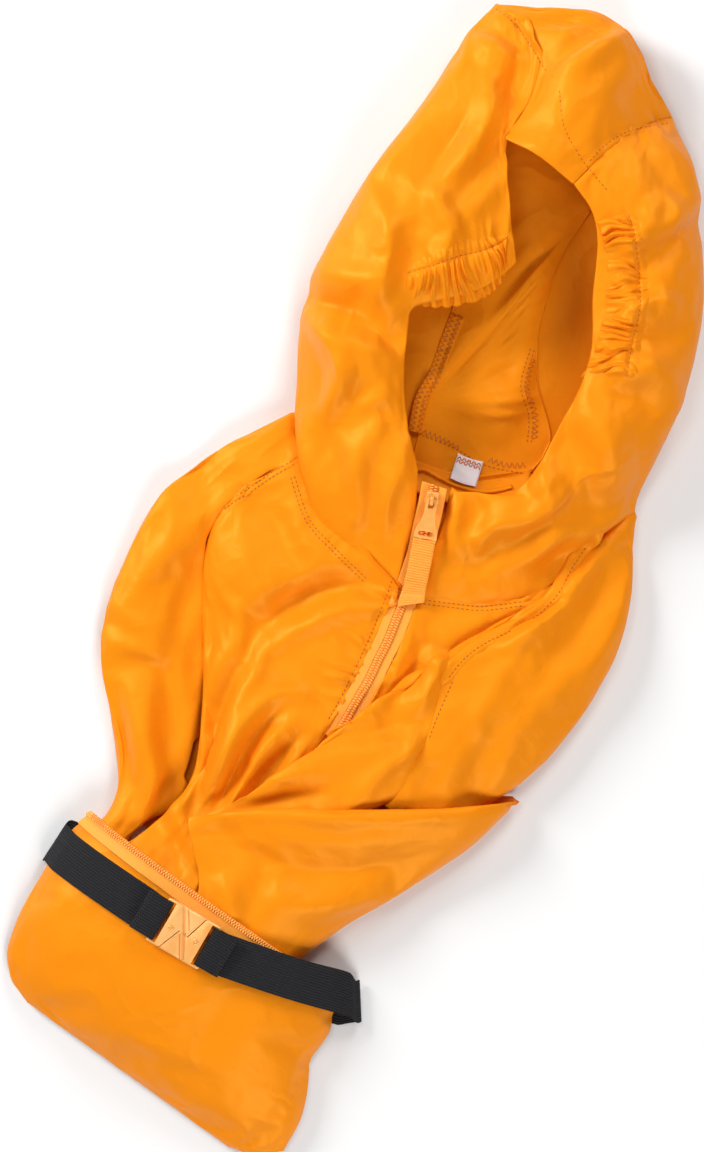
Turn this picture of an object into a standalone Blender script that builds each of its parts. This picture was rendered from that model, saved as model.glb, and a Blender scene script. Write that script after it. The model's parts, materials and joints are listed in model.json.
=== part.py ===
"""Child's hooded windbreaker, laid face up on a surface, with its lower half stuffed into its own
zip pouch and an elastic belt buckled round the pouch.

The frame is the jacket's own: +Y runs up the jacket from the pouch to the hood, +X runs to the
right across it, +Z is up off the surface, and the origin is the middle of the footprint on the
surface. The tables are in millimetres. Each row of a table is one section across a piece of cloth,
and the cloth is lofted through its sections and given its wall by Solidify.
"""

from collections import namedtuple
from math import atan2, cos, hypot, pi, radians, sin, sqrt

import bpy
import numpy as np
from mathutils import Vector

MM = 0.001

# Cloth walls and clearances
WALL = 1.2
SEAM_GAP = 0.4
HOOD_GAP = 1.1
LAYER_GAP = 0.4
POUCH_FLOOR = 2.2
BELT_WIDTH = 25.0
BELT_WALL = 1.5
BELT_GAP = 0.7

# Zip
ZIP_HALF_WIDTH = 7.4
CHAIN_HALF_WIDTH = 2.6
CHAIN_WALL = 1.6
CHAIN_RISE = 0.8
TAPE_EDGE = CHAIN_HALF_WIDTH + 0.3
TAPE_WALL = 0.8
SLIDER_Y = 47.0

# Pouch frame: the middle of its mouth, and the angle of the mouth to the X axis
POUCH_MIDDLE = (-46.0, -216.0)
POUCH_TURN = radians(-18.0)

ORANGE = (1.0, 0.30, 0.007, 1.0)
PALE_ORANGE = (1.0, 0.40, 0.045, 1.0)
BUCKLE_ORANGE = (1.0, 0.52, 0.16, 1.0)
BLACK = (0.018, 0.018, 0.021, 1.0)
WHITE = (0.85, 0.85, 0.86, 1.0)


# ---------------------------------------------------------------- scene and materials

def clear_scene():
    for obj in list(bpy.data.objects):
        bpy.data.objects.remove(obj, do_unlink=True)


def new_collection(name):
    collection = bpy.data.collections.new(name)
    bpy.context.scene.collection.children.link(collection)
    return collection


def new_material(name, colour, roughness, metallic=0.0):
    material = bpy.data.materials.new(name)
    material.use_nodes = True
    shader = material.node_tree.nodes["Principled BSDF"]
    shader.inputs["Base Color"].default_value = colour
    shader.inputs["Roughness"].default_value = roughness
    shader.inputs["Metallic"].default_value = metallic
    return material


clear_scene()
PARTS = new_collection("windbreaker")
CUTTERS = new_collection("cutters")


def place(name, mesh, material, collection=PARTS):
    obj = bpy.data.objects.new(name, mesh)
    collection.objects.link(obj)
    if material:
        obj.data.materials.append(material)
    return obj


# ---------------------------------------------------------------- lines, lofts and sheets

def smooth(points, steps):
    """Points on a smooth line through the given ones, with steps[i] pieces after point i."""
    points = np.array(points, float)
    chord = np.maximum(np.linalg.norm(np.diff(points, axis=0), axis=1), 1e-6)
    slope = np.diff(points, axis=0) / chord[:, None]
    tangent = np.vstack([slope[:1], slope])
    for i in range(1, len(points) - 1):
        before, after = chord[i - 1], chord[i]
        tangent[i] = (slope[i - 1] * after + slope[i] * before) / (before + after)
    line = []
    for i, count in enumerate(steps):
        for k in range(count):
            t = k / count
            start = (1 + 2 * t) * (1 - t) ** 2
            end = t * t * (3 - 2 * t)
            leave = t * (1 - t) ** 2 * chord[i]
            arrive = t * t * (t - 1) * chord[i]
            line.append(
                start * points[i] + end * points[i + 1]
                + leave * tangent[i] + arrive * tangent[i + 1]
            )
    line.append(points[-1])
    return np.array(line)


def loft(sections, along):
    """The grid through sections of equal length, with along[i] pieces after section i."""
    sections = np.array(sections)
    columns = [smooth(sections[:, j], along) for j in range(sections.shape[1])]
    grid = np.array(columns).transpose(1, 0, 2)
    grid[..., 2] = np.maximum(grid[..., 2], 0.0)
    return grid


def sheet(name, grid, material, wall=WALL, flip=False):
    """Cloth on a grid of points in mm. The points are its outer side, and the wall grows inwards."""
    rows, columns = grid.shape[:2]
    faces = []
    for i in range(rows - 1):
        for j in range(columns - 1):
            corner = i * columns + j
            face = (corner, corner + columns, corner + columns + 1, corner + 1)
            faces.append(face[::-1] if flip else face)
    mesh = bpy.data.meshes.new(name)
    mesh.from_pydata((grid.reshape(-1, 3) * MM).tolist(), [], faces)
    mesh.update()
    for polygon in mesh.polygons:
        polygon.use_smooth = True
    obj = place(name, mesh, material)
    solid = obj.modifiers.new("Wall", "SOLIDIFY")
    solid.thickness = wall * MM
    solid.offset = -1.0
    return obj


def block(name, top, bottom, material):
    """A closed solid between two grids of the same size, the upper and the lower one."""
    rows, columns = top.shape[:2]
    count = rows * columns

    def at(layer, i, j):
        return layer * count + i * columns + j

    faces = []
    for i in range(rows - 1):
        for j in range(columns - 1):
            up = [at(0, i, j), at(0, i + 1, j), at(0, i + 1, j + 1), at(0, i, j + 1)]
            faces.append(up)
            faces.append([point + count for point in reversed(up)])
    for i in range(rows - 1):
        faces.append([at(0, i + 1, 0), at(0, i, 0), at(1, i, 0), at(1, i + 1, 0)])
        last = columns - 1
        faces.append([at(0, i, last), at(0, i + 1, last), at(1, i + 1, last), at(1, i, last)])
    for j in range(columns - 1):
        faces.append([at(0, 0, j), at(0, 0, j + 1), at(1, 0, j + 1), at(1, 0, j)])
        last = rows - 1
        faces.append([at(0, last, j + 1), at(0, last, j), at(1, last, j), at(1, last, j + 1)])
    points = np.concatenate([top.reshape(-1, 3), bottom.reshape(-1, 3)]) * MM
    mesh = bpy.data.meshes.new(name)
    mesh.from_pydata(points.tolist(), [], faces)
    mesh.update()
    return place(name, mesh, material)


def normals_of(grid, flip=False):
    """Unit normals of a grid, on the side that sheet() leaves outside."""
    along = np.gradient(grid, axis=0)
    across = np.gradient(grid, axis=1)
    normal = np.cross(along, across)
    normal /= np.maximum(np.linalg.norm(normal, axis=2, keepdims=True), 1e-9)
    return -normal if flip else normal


def move_in(points, towards, gap):
    """Each point moved by the gap towards its partner."""
    step = towards - points
    return points + step * (gap / np.maximum(np.linalg.norm(step, axis=-1, keepdims=True), 1e-9))


def between(table, name, key, value):
    """The named column of a table, read at a value of its key column, smoothly in between."""
    keys = [getattr(row, key) for row in table]
    values = [getattr(row, name) for row in table]
    if keys[0] > keys[-1]:
        keys, values = keys[::-1], values[::-1]
    value = min(max(value, keys[0]), keys[-1])
    i = min(int(np.searchsorted(keys, value, side="right")) - 1, len(keys) - 2)
    t = (value - keys[i]) / (keys[i + 1] - keys[i])
    t = t * t * (3 - 2 * t)
    return values[i] * (1 - t) + values[i + 1] * t


# ---------------------------------------------------------------- the body's rounded front

# The front of the laid body rises from its two side folds to a crown. A section every 50 mm or so.
Belly = namedtuple("Belly", "y left left_z right right_z bulge")
BELLY = (
    Belly(90, -90, 8, 138, 8, 14),
    Belly(0, -104, 13, 128, 12, 12),
    Belly(-50, -97, 12, 125, 12, 14),
    Belly(-100, -84, 12, 112, 12, 16),
    Belly(-150, -76, 12, 92, 10, 17),
    Belly(-200, -92, 12, 52, 9, 15),
    Belly(-240, -104, 11, 30, 8, 14),
)


def belly(x, y):
    """Height of the lowest visible layer of the fronts above the surface."""
    left, right = between(BELLY, "left", "y", y), between(BELLY, "right", "y", y)
    u = min(max((x - left) / (right - left), 0.0), 1.0)
    edge = between(BELLY, "left_z", "y", y) * (1 - u) + between(BELLY, "right_z", "y", y) * u
    return edge + between(BELLY, "bulge", "y", y) * (4 * u * (1 - u)) ** 0.6


def on_belly(x, y, lift=0.0):
    return (x, y, belly(x, y) + lift)


# ---------------------------------------------------------------- the pouch's form

# Sections across the pouch, each at a distance down from its mouth, in the pouch's own frame.
Pouch = namedtuple("Pouch", "down left right crown edge")
POUCH = (
    Pouch(0, -78, 100, 37.5, 6.5),
    Pouch(20, -84, 113, 41, 5),
    Pouch(45, -82, 116, 42, 5),
    Pouch(75, -79, 126, 37, 5),
    Pouch(98, -72, 131, 27, 5),
    Pouch(110, -60, 122, 15, 5),
    Pouch(115, -44, 104, 6, 5),
)


def pouch_point(along, down):
    """Plan position of a point in the pouch's frame."""
    x = POUCH_MIDDLE[0] + along * cos(POUCH_TURN) + down * sin(POUCH_TURN)
    y = POUCH_MIDDLE[1] + along * sin(POUCH_TURN) - down * cos(POUCH_TURN)
    return x, y


def pouch_height(along, down):
    left, right = between(POUCH, "left", "down", down), between(POUCH, "right", "down", down)
    u = min(max((along - left) / (right - left), 0.0), 1.0)
    edge = between(POUCH, "edge", "down", down)
    return edge + (between(POUCH, "crown", "down", down) - edge) * (4 * u * (1 - u)) ** 0.55


def pouch_frame(x, y):
    """Distances along and down the pouch of a plan position."""
    x, y = x - POUCH_MIDDLE[0], y - POUCH_MIDDLE[1]
    along = x * cos(POUCH_TURN) + y * sin(POUCH_TURN)
    down = x * sin(POUCH_TURN) - y * cos(POUCH_TURN)
    return along, down


def pouch_over(x, y):
    """Height of the pouch's front above a plan position, carried on level past its mouth."""
    along, down = pouch_frame(x, y)
    return pouch_height(along, max(down, 0.0))


def over_pouch(x, y):
    """A point of the belt's outer side, square to the pouch's front, and clear of its zip tape."""
    along, _ = pouch_frame(x, y)
    step = 0.5
    slope_x = (pouch_over(x + step, y) - pouch_over(x - step, y)) / (2 * step)
    slope_y = (pouch_over(x, y + step) - pouch_over(x, y - step)) / (2 * step)
    normal = Vector((-slope_x, -slope_y, 1.0)).normalized()
    over_tape = 1.7 * min(max((along - 18) / 15, 0.0), 1.0)
    point = Vector((x, y, pouch_over(x, y))) + normal * (BELT_GAP + BELT_WALL + over_tape)
    return tuple(point)


def into_pouch(along, down, depth):
    """A point of cloth that has gone in under the pouch's front, depth below its outer side."""
    return (*pouch_point(along, down), pouch_height(along, down) - depth)


# ---------------------------------------------------------------- the front zip's line

ZipPoint = namedtuple("ZipPoint", "y x lift")
ZIP_LINE = (
    ZipPoint(56, 14.5, 15.0),
    ZipPoint(40, 16.5, 10.0),
    ZipPoint(12, 18.8, 3.0),
    ZipPoint(-8, 18.4, 0.0),
    ZipPoint(-35, 16.8, 0.0),
    ZipPoint(-60, 13.4, 0.0),
    ZipPoint(-82, 9.6, 0.0),
    ZipPoint(-108, 5.0, 0.0),
)


def zip_at(y, side=0.0, rise=0.0):
    """A point of the zip's line, side mm to its right."""
    x = between(ZIP_LINE, "x", "y", y)
    return (x + side, y, belly(x, y) + between(ZIP_LINE, "lift", "y", y) + rise)


def zip_edge(y, side):
    """Where a front or a hood side ends at the zip's tape."""
    return zip_at(y, side * (ZIP_HALF_WIDTH + 2 * SEAM_GAP))


# ---------------------------------------------------------------- hood

# Neck seam on each side, from the zip to the side fold: plan positions.
NECK_LEFT = ((-22, 8), (-44, 16), (-57, 30), (-68, 47), (-77, 72))
NECK_RIGHT = ((60, -3), (81, 7), (98, 20), (108, 46), (134, 77))

# Sections of each hood side, from the opening edge over the crown to the side fold and then along
# the surface to the seam with the hood's centre panel. The last rows lie beyond the brim.
HoodSection = namedtuple(
    "HoodSection",
    "edge_x edge_y edge_z mid_x mid_y mid_z crown_x crown_y crown_z side_x side_y side_z "
    "seam_x seam_y seam_z",
)
HOOD_LEFT = (
    HoodSection(9.3, 28, 31, -18, 36, 38, -50, 56, 36, -87, 102, 10, -4, 86, 0),
    HoodSection(5.5, 57, 36, -24, 66, 44, -58, 86, 42, -94, 126, 11, -5, 106, 0),
    HoodSection(-13, 86, 37, -36, 92, 46, -68, 112, 44, -94, 150, 12, -6, 128, 0),
    HoodSection(-27, 128, 39, -46, 132, 49, -70, 146, 45, -90, 178, 13, -7, 152, 0),
    HoodSection(-31, 151, 41, -48, 160, 50, -66, 176, 47, -84, 202, 13, -8, 176, 0),
    HoodSection(-4, 167, 43, -30, 182, 51, -56, 202, 49, -77, 228, 14, -10, 200, 0),
    HoodSection(20, 196, 40, -12, 208, 50, -44, 226, 50, -69, 252, 14, -12, 226, 0),
    HoodSection(9, 220, 40, -14, 232, 48, -38, 250, 48, -63, 272, 14, -15, 250, 0),
    HoodSection(-2, 245, 42, -18, 256, 45, -34, 272, 44, -57, 294, 14, -20, 274, 0),
    HoodSection(-9, 264, 45, -20, 279, 42, -32, 292, 39, -53, 311, 14, -26, 296, 0),
    HoodSection(0, 289, 37, -14, 302, 38, -28, 312, 34, -48, 325, 14, -31, 314, 2),
    HoodSection(-2, 314, 34, -14, 322, 32, -27, 328, 28, -42, 335, 14, -35, 328, 7),
)
HOOD_RIGHT = (
    HoodSection(26.4, 22, 29, 62, 30, 35, 100, 62, 31, 134, 92, 10, 72, 92, 0),
    HoodSection(27, 56, 35, 74, 56, 41, 106, 84, 38, 137, 114, 11, 74, 104, 0),
    HoodSection(60, 64, 36, 86, 78, 45, 112, 104, 42, 140, 136, 12, 66, 118, 0),
    HoodSection(72, 96, 39, 94, 108, 48, 116, 128, 45, 141, 158, 13, 54, 136, 0),
    HoodSection(79, 135, 42, 97, 142, 50, 117, 156, 47, 139, 182, 13, 47, 158, 0),
    HoodSection(78, 164, 43, 96, 170, 50, 114, 182, 48, 136, 206, 14, 45, 182, 0),
    HoodSection(69, 190, 43, 90, 198, 51, 109, 208, 49, 129, 229, 14, 46, 206, 0),
    HoodSection(65, 214, 46, 84, 222, 52, 104, 232, 49, 123, 247, 14, 50, 228, 0),
    HoodSection(58, 236, 49, 76, 243, 53, 97, 252, 49, 117, 263, 14, 56, 248, 0),
    HoodSection(39, 249, 53, 62, 260, 52, 86, 268, 46, 109, 277, 14, 62, 266, 0),
    HoodSection(50, 272, 50, 68, 279, 46, 84, 284, 40, 100, 290, 14, 69, 282, 2),
    HoodSection(63, 291, 39, 73, 294, 36, 83, 297, 30, 91, 301, 14, 76, 296, 7),
)
# The last section of each side is a short one at the side fold: inner end, middle, outer end.
HOOD_LEFT_END = ((-18, 332, 26), (-27, 336, 23), (-34, 339, 19), (-38, 341, 15), (-37, 337, 11))
HOOD_RIGHT_END = ((75, 303, 25), (78, 305, 22), (81, 307, 19), (84, 308, 15), (81, 304, 11))

# Middle line of the hood's centre panel: up the back, round the top of the hood, to the brim.
HOOD_MIDDLE = (
    (32, 66, 0), (32, 100, 0), (26, 140, 0), (20, 180, 0), (18, 230, 0), (20, 285, 0),
    (24, 336, 1), (27, 353, 8), (30, 357, 20), (31, 351, 36), (27, 334, 48), (18, 308, 54),
    (15, 284, 56), (12, 259, 56),
)

HOOD_ACROSS = (2, 2, 2, 2, 2)
HOOD_ALONG = (1, 1, 2, 2, 1, 2, 2, 1, 1, 1, 1, 1, 1)
BRIM_ROW = sum(HOOD_ALONG[:10])
TUCK = 15.0


def floor_part(side, seam):
    """From the side fold down in a quarter round to the surface, and along it to the seam."""
    side, seam = np.array(side, float), np.array(seam, float)
    reach = float(np.linalg.norm((seam - side)[:2]))
    towards = (seam - side) / reach
    tuck = min(TUCK, 0.5 * reach)
    half, down = side + towards * tuck * (1 - cos(pi / 4)), side + towards * tuck
    half[2] = seam[2] + (side[2] - seam[2]) * (1 - sin(pi / 4))
    down[2] = seam[2]
    return np.array([half, down, (down + seam) / 2, seam])


def shoulder(crown, side):
    """Where the cloth turns from the crown to the side fold."""
    crown, side = np.array(crown, float), np.array(side, float)
    point = side + (crown - side) * 0.16
    point[2] = side[2] + (crown[2] - side[2]) * 0.5
    return point


def hood_section(row):
    edge = (row.edge_x, row.edge_y, row.edge_z)
    mid = (row.mid_x, row.mid_y, row.mid_z)
    crown = (row.crown_x, row.crown_y, row.crown_z)
    side = (row.side_x, row.side_y, row.side_z)
    seam = (row.seam_x, row.seam_y, row.seam_z)
    over = smooth([edge, mid, crown, shoulder(crown, side), side], (3, 3, 2, 2))
    return np.concatenate([over, floor_part(side, seam)])


def neck_section(zip_side, plan, side_z, seam):
    """The hood's first section is the neck seam, as high as the fronts that it is sewn to."""
    start = zip_edge(-8.0, zip_side)
    line = [start] + [on_belly(x, y) for x, y in plan[:-1]]
    line.append((plan[-1][0], plan[-1][1], side_z))
    over = smooth(line, HOOD_ACROSS)
    return np.concatenate([over, floor_part(line[-1], seam)])


def end_section(points):
    """The short last section, with as many points as the others."""
    return smooth(points, (3, 3, 4, 4))


def hood_side(zip_side, plan, side_z, seam, table, end):
    sections = [neck_section(zip_side, plan, side_z, seam)]
    sections += [hood_section(row) for row in table]
    sections.append(end_section(end))
    return loft(sections, HOOD_ALONG)


def hood_boundary(grid):
    """The edge that the centre panel is sewn to: up the back, round the end and to the brim."""
    up_the_back = grid[:, -1]
    round_the_end = grid[-1, ::-1][1:]
    to_the_brim = grid[BRIM_ROW:-1, 0][::-1]
    return np.concatenate([up_the_back, round_the_end, to_the_brim])


def hood_centre(left_grid, right_grid):
    left, right = hood_boundary(left_grid), hood_boundary(right_grid)
    rows = len(left)
    middle_line = smooth(HOOD_MIDDLE, (8,) * (len(HOOD_MIDDLE) - 1))
    gone = np.concatenate([[0], np.cumsum(np.linalg.norm(np.diff(middle_line, axis=0), axis=1))])
    seams = (left + right) / 2
    pace = np.concatenate([[0], np.cumsum(np.linalg.norm(np.diff(seams, axis=0), axis=1))])
    grid = []
    for k in range(rows):
        where = pace[k] / pace[-1] * gone[-1]
        middle = np.array([np.interp(where, gone, middle_line[:, axis]) for axis in range(3)])
        grid.append(smooth([
            move_in(left[k], middle, HOOD_GAP), middle, move_in(right[k], middle, HOOD_GAP),
        ], (3, 3)))
    grid = np.array(grid)
    grid[..., 2] = np.maximum(grid[..., 2], 0.0)
    return grid


# ---------------------------------------------------------------- back panel

# The back lies flat on the surface from the neck seam down to the pouch's mouth.
Back = namedtuple("Back", "left_x left_y right_x right_y")
BACK = (
    Back(-83, 30, 111, 34),
    Back(-94, -10, 106, 4),
    Back(-98, -50, 100, -40),
    Back(-92, -95, 88, -90),
    Back(-88, -135, 70, -135),
    Back(-86, -165, 50, -175),
    Back(-92, -189, 16, -226),
)


def back_panel(left_grid, right_grid, middle_grid):
    neck = np.concatenate([
        left_grid[0, 12:14], middle_grid[0], right_grid[0, 12:14][::-1],
    ])
    neck[:, 1] -= 0.8
    neck[:, 2] = 0
    sections = [neck]
    for row in BACK:
        share = np.linspace(0, 1, len(neck))[:, None]
        start = np.array([row.left_x, row.left_y, 0.0])
        finish = np.array([row.right_x, row.right_y, 0.0])
        sections.append(start * (1 - share) + finish * share)
    return loft(sections, (1,) * len(BACK))


# ---------------------------------------------------------------- fronts

# Sections across the left front from its outer edge to the zip's tape. Down to the second one the
# outer edge is the raglan seam, and below that it is a fold that rolls under.
FrontLeft = namedtuple("FrontLeft", "edge_x edge_y a_x a_y b_x b_y c_x c_y zip_y roll")
FRONT_LEFT = (
    FrontLeft(-92, 22, -72, 8, -48, -6, -18, -12, -16, 0.0),
    FrontLeft(-106, -8, -82, -26, -52, -38, -18, -42, -42, 1.5),
    FrontLeft(-101, -42, -76, -56, -48, -66, -18, -70, -70, 4.0),
    FrontLeft(-87, -85, -66, -96, -44, -104, -20, -102, -96, 5.0),
)
# The same, below the end of the zip, where the front gathers towards the pouch.
GATHER_LEFT = (
    FrontLeft(-76, -125, -60, -133, -44, -134, -28, -132, -128, 5.0),
    FrontLeft(-71, -155, -60, -160, -50, -160, -40, -158, -155, 4.5),
    FrontLeft(-80, -180, -70, -184, -60, -185, -50, -184, -183, 4.0),
)
GATHER_RIGHT_X = (-12, -31, -43)
# Where it goes in at the pouch's mouth, in the pouch's frame.
GATHER_MOUTH = (-52, -50, -38, -25, -12, 0)
MOUTH_DEPTH = 6.0

# Ridges of cloth, raised along a line: from, to, height and half width.
Ridge = namedtuple("Ridge", "x y to_x to_y height width")
LEFT_RIDGES = (
    Ridge(-70, -158, -66, -66, 5.0, 9),
    Ridge(-66, -162, -40, -84, 6.0, 8),
    Ridge(-60, -152, -24, -100, 3.0, 6),
    Ridge(-60, -20, 0, -26, 2.5, 9),
)


def ridged(grid, ridges):
    """Raises a grid of cloth along its ridges, which fade out towards their ends."""
    grid = grid.copy()
    for ridge in ridges:
        start = np.array([ridge.x, ridge.y], float)
        run = np.array([ridge.to_x, ridge.to_y], float) - start
        length = float(np.linalg.norm(run))
        offset = grid[..., :2] - start
        share = np.clip(offset @ run / length ** 2, 0, 1)
        away = np.linalg.norm(offset - share[..., None] * run, axis=-1)
        fade = np.sin(pi * np.clip(0.12 + 0.88 * (1 - share), 0, 1)) ** 0.5
        grid[..., 2] += ridge.height * fade * np.exp(-((away / ridge.width) ** 2))
    return grid


def front_left_section(row, inner):
    """Rolled edge, outer edge, three points across and the inner edge."""
    edge = on_belly(row.edge_x, row.edge_y)
    roll = (row.edge_x + 0.4 * row.roll + 0.3, row.edge_y, edge[2] - row.roll)
    turn = (row.edge_x + 1.2, row.edge_y - 0.5, edge[2] + 0.25 * row.roll)
    line = [roll, turn]
    line += [on_belly(*point) for point in ((row.a_x, row.a_y), (row.b_x, row.b_y))]
    line += [on_belly(row.c_x, row.c_y), inner]
    return smooth(line, (1, 1, 2, 2, 2))


def front_left(hood_grid):
    neck = hood_grid[0, 8::-1].copy()
    neck[:, :2] += (-0.25, -0.55)
    sections = [neck]
    sections += [front_left_section(row, zip_edge(row.zip_y, -1)) for row in FRONT_LEFT]
    for row, inner_x in zip(GATHER_LEFT, GATHER_RIGHT_X):
        sections.append(front_left_section(row, on_belly(inner_x, row.zip_y)))
    mouth = [into_pouch(along, MOUTH_DEPTH, 5.0) for along in GATHER_MOUTH]
    sections.append(smooth(mouth, (1, 1, 2, 2, 2)))
    return ridged(loft(sections, (1, 2, 2, 2, 2, 2, 1, 1)), LEFT_RIDGES)


# The right front is drawn across towards the pouch, so it lies in one long pleat. Sections across
# the pleat: where the lower layer starts (neck seam or zip), the pleat's fold, and the raglan seam.
Pleat = namedtuple("Pleat", "zip_y fold_x fold_y seam_x seam_y depth lift base")
PLEAT = (
    Pleat(None, 100, 17.0, 104.2, 13.6, 2, 4.4, 0.0),
    Pleat(None, 84, 0, 96, 3, 7, 5.0, 0.0),
    Pleat(None, 66, -20, 78, -15, 9, 5.5, 0.0),
    Pleat(-9, 48, -40, 57, -35, 11, 6.0, 0.0),
    Pleat(-36, 30, -63, 54, -58, 12, 6.5, 0.0),
    Pleat(-64, 15, -81, 56, -84, 12, 7.0, 0.0),
    Pleat(-80, 8, -92, 54, -98, 12, 7.4, 1.2),
    Pleat(None, 0, -104, 52, -110, 12, 7.6, 2.2),
    Pleat(None, -14, -125, 46.5, -128, 12, 7.6, 2.2),
    Pleat(None, -32, -150, 20, -150, 10, 7.4, 2.2),
    Pleat(None, -54, -170, -18, -172, 6, 7.0, 2.2),
)
NECK_ROWS = 3
ZIP_ROWS = 11


def pleat_section(row, start):
    """Lower layer, the turn under the pleat, back to the fold, and the upper layer to the seam."""
    fold = np.array([row.fold_x, row.fold_y])
    seam = np.array([row.seam_x, row.seam_y])
    width = float(np.linalg.norm(seam - fold))
    across = (seam - fold) / width

    def at(distance, lift):
        x, y = fold + across * distance
        return (x, y, belly(x, y) + lift)

    depth, height, base = row.depth, row.lift, row.base
    if start is None:
        start = at(0.35 * depth, base + 0.4)
    turn = at(depth - 2.0, base + 0.6)
    middle = (np.array(start) + np.array(turn)) / 2
    middle[2] = belly(middle[0], middle[1]) + base + 0.3
    near = at(0.3 * width + 2.0, height + 0.8)
    end = at(width, height)
    return np.array([
        start, middle, turn, at(depth, base + 1.0), at(depth - 2.0, base + 1.5),
        at(1.6, base + 1.7), at(-0.6, 0.5 * (base + 1.7 + height)), at(1.8, height),
        near, (np.array(near) + np.array(end)) / 2, end,
    ])


def front_right(hood_grid):
    neck = hood_grid[0, 6::-1].copy()
    neck[:, :2] += (0.15, -0.75)
    sections = []
    for number, row in enumerate(PLEAT):
        if number <= NECK_ROWS:
            start = tuple(neck[2 * number])
        elif row.zip_y is None:
            start = None
        else:
            start = zip_edge(row.zip_y, 1)
            start = (start[0], start[1], start[2] + row.base)
        sections.append(pleat_section(row, start))
    grid = loft(sections, (2, 2, 2, 2, 2, 1, 1, 1, 1, 1))
    grid[:len(neck), 0] = neck
    for row in grid[len(neck):ZIP_ROWS]:
        row[0] = zip_edge(row[0][1], 1)
    return grid


# ---------------------------------------------------------------- sleeves

# Sections across a sleeve: the raglan seam (or where it goes in under the front), the crown, the
# side fold, and the end of its under side on the surface.
Sleeve = namedtuple(
    "Sleeve", "seam_x seam_y sink crown_x crown_y crown_z side_x side_y side_z end_x end_y end_z",
    defaults=(0.0,),
)
SLEEVE_LEFT = (
    Sleeve(-69.8, 48, 0.3, -75, 60, 12, -80, 72.5, 7, -73, 58),
    Sleeve(-93, 24, 0.3, -104, 33, 15, -116, 42, 7, -86, 29),
    Sleeve(-107, -6, 0.4, -123, 6, 17, -138, 12, 8, -95, -10),
    Sleeve(-98, -42, 5.0, -126, -38, 18, -150, -40, 8, -99, -50),
    Sleeve(-84, -90, 6.5, -120, -86, 18, -151, -88, 8, -93, -95),
    Sleeve(-76, -128, 7.5, -107, -122, 18, -134, -126, 8, -89, -135),
    Sleeve(-74, -158, 7.5, -97, -156, 18, -114, -160, 8, -87, -165),
    Sleeve(-85, -184, 7.0, -97, -183, 15, -106, -184, 8.5, -93, -188, 4.0),
)
SLEEVE_RIGHT = (
    Sleeve(101.0, 20.6, 0.4, 110.6, 45, 18, 136, 75.4, 8, 114, 34),
    Sleeve(106.5, 13.0, -2.0, 114, 34, 21, 140, 62, 8, 112, 28),
    Sleeve(97.5, 3, -5.0, 118, 24, 22, 146, 42, 8, 110, 18),
    Sleeve(79, -15.5, -5.5, 108, -6, 27, 151.5, 2, 8, 106, 2),
    Sleeve(57.5, -35.5, -6.0, 100, -34, 31, 148, -28, 8, 101, -36),
    Sleeve(54.5, -58.5, -6.5, 92, -62, 33, 136, -66, 8, 95, -66),
    Sleeve(57.0, -84.5, -7.0, 86, -88, 32, 124, -92, 8, 90, -90),
    Sleeve(53.0, -110.0, -7.5, 78, -110, 30, 108, -112, 10, 84, -112, 1.9),
    Sleeve(47.8, -131.0, -5.6, 70, -130, 28, 96, -127, 10, 76, -128, 1.9),
)


def sleeve_section(row):
    seam_z = belly(row.seam_x, row.seam_y) - row.sink
    seam = (row.seam_x, row.seam_y, seam_z)
    crown = (row.crown_x, row.crown_y, row.crown_z)
    side = (row.side_x, row.side_y, row.side_z)
    over = smooth([seam, crown, shoulder(crown, side), side], (2, 2, 2))
    return np.concatenate([over, floor_part(side, (row.end_x, row.end_y, row.end_z))])


def sleeve_left():
    sections = [sleeve_section(row) for row in SLEEVE_LEFT]
    down = MOUTH_DEPTH
    mouth = [into_pouch(-56, down, 8), into_pouch(-65, down, 3.2), into_pouch(-71, down, 3.2)]
    mouth.append((*pouch_point(-74, down), 9))
    over = smooth(mouth, (2, 2, 2))
    end = (*pouch_point(-58, down), 4.2)
    sections.append(np.concatenate([over, floor_part(mouth[-1], end)]))
    return loft(sections, (1, 1, 2, 2, 2, 1, 1, 1))


def sleeve_right():
    return loft([sleeve_section(row) for row in SLEEVE_RIGHT], (1, 1, 2, 2, 2, 2, 1, 1))


# The lower part of the right sleeve is turned back over the body. Sections across it, from its left
# end to the side fold, and then along the surface.
Lower = namedtuple("Lower", "a_x a_y b_x b_y c_x c_y d_x d_y side_x side_y end_x end_y lift left_lift")
LOWER = (
    Lower(-64, -175, -18, -153, 31, -139, 76, -124, 120, -106, 84, -118, 12.0, 11),
    Lower(-58, -187, -12, -171, 33, -160, 70, -150, 100, -146, 70, -150, 12.0, 10),
    Lower(-53, -197, -14, -189, 22, -183, 52, -178, 77, -174, 50, -182, 11.0, 8),
    Lower(-47, -206, -20, -205, 6, -204, 27, -206, 46, -210, 28, -215, 9.5, 7),
)
# How the fold along its top is rolled: steps down the panel, and below the top.
LOWER_ROLL = ((2.6, 3.6), (-0.5, 1.9), (1.8, 0.2))


def lower_section(row, step, sink):
    def at(x, y, lift):
        return (x, y - step, belly(x, y) + lift - sink)

    side = np.array([row.side_x, row.side_y - max(step, 0.3), 9.0 - 0.5 * sink])
    crown = at(row.d_x, row.d_y, row.lift)
    over = smooth([
        at(row.a_x, row.a_y, row.left_lift), at(row.b_x, row.b_y, row.lift),
        at(row.c_x, row.c_y, row.lift), crown, shoulder(crown, side), side,
    ], (2, 2, 2, 2, 2))
    return np.concatenate([over, floor_part(side, (row.end_x, row.end_y - max(step, 0.3), 0.0))])


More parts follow.
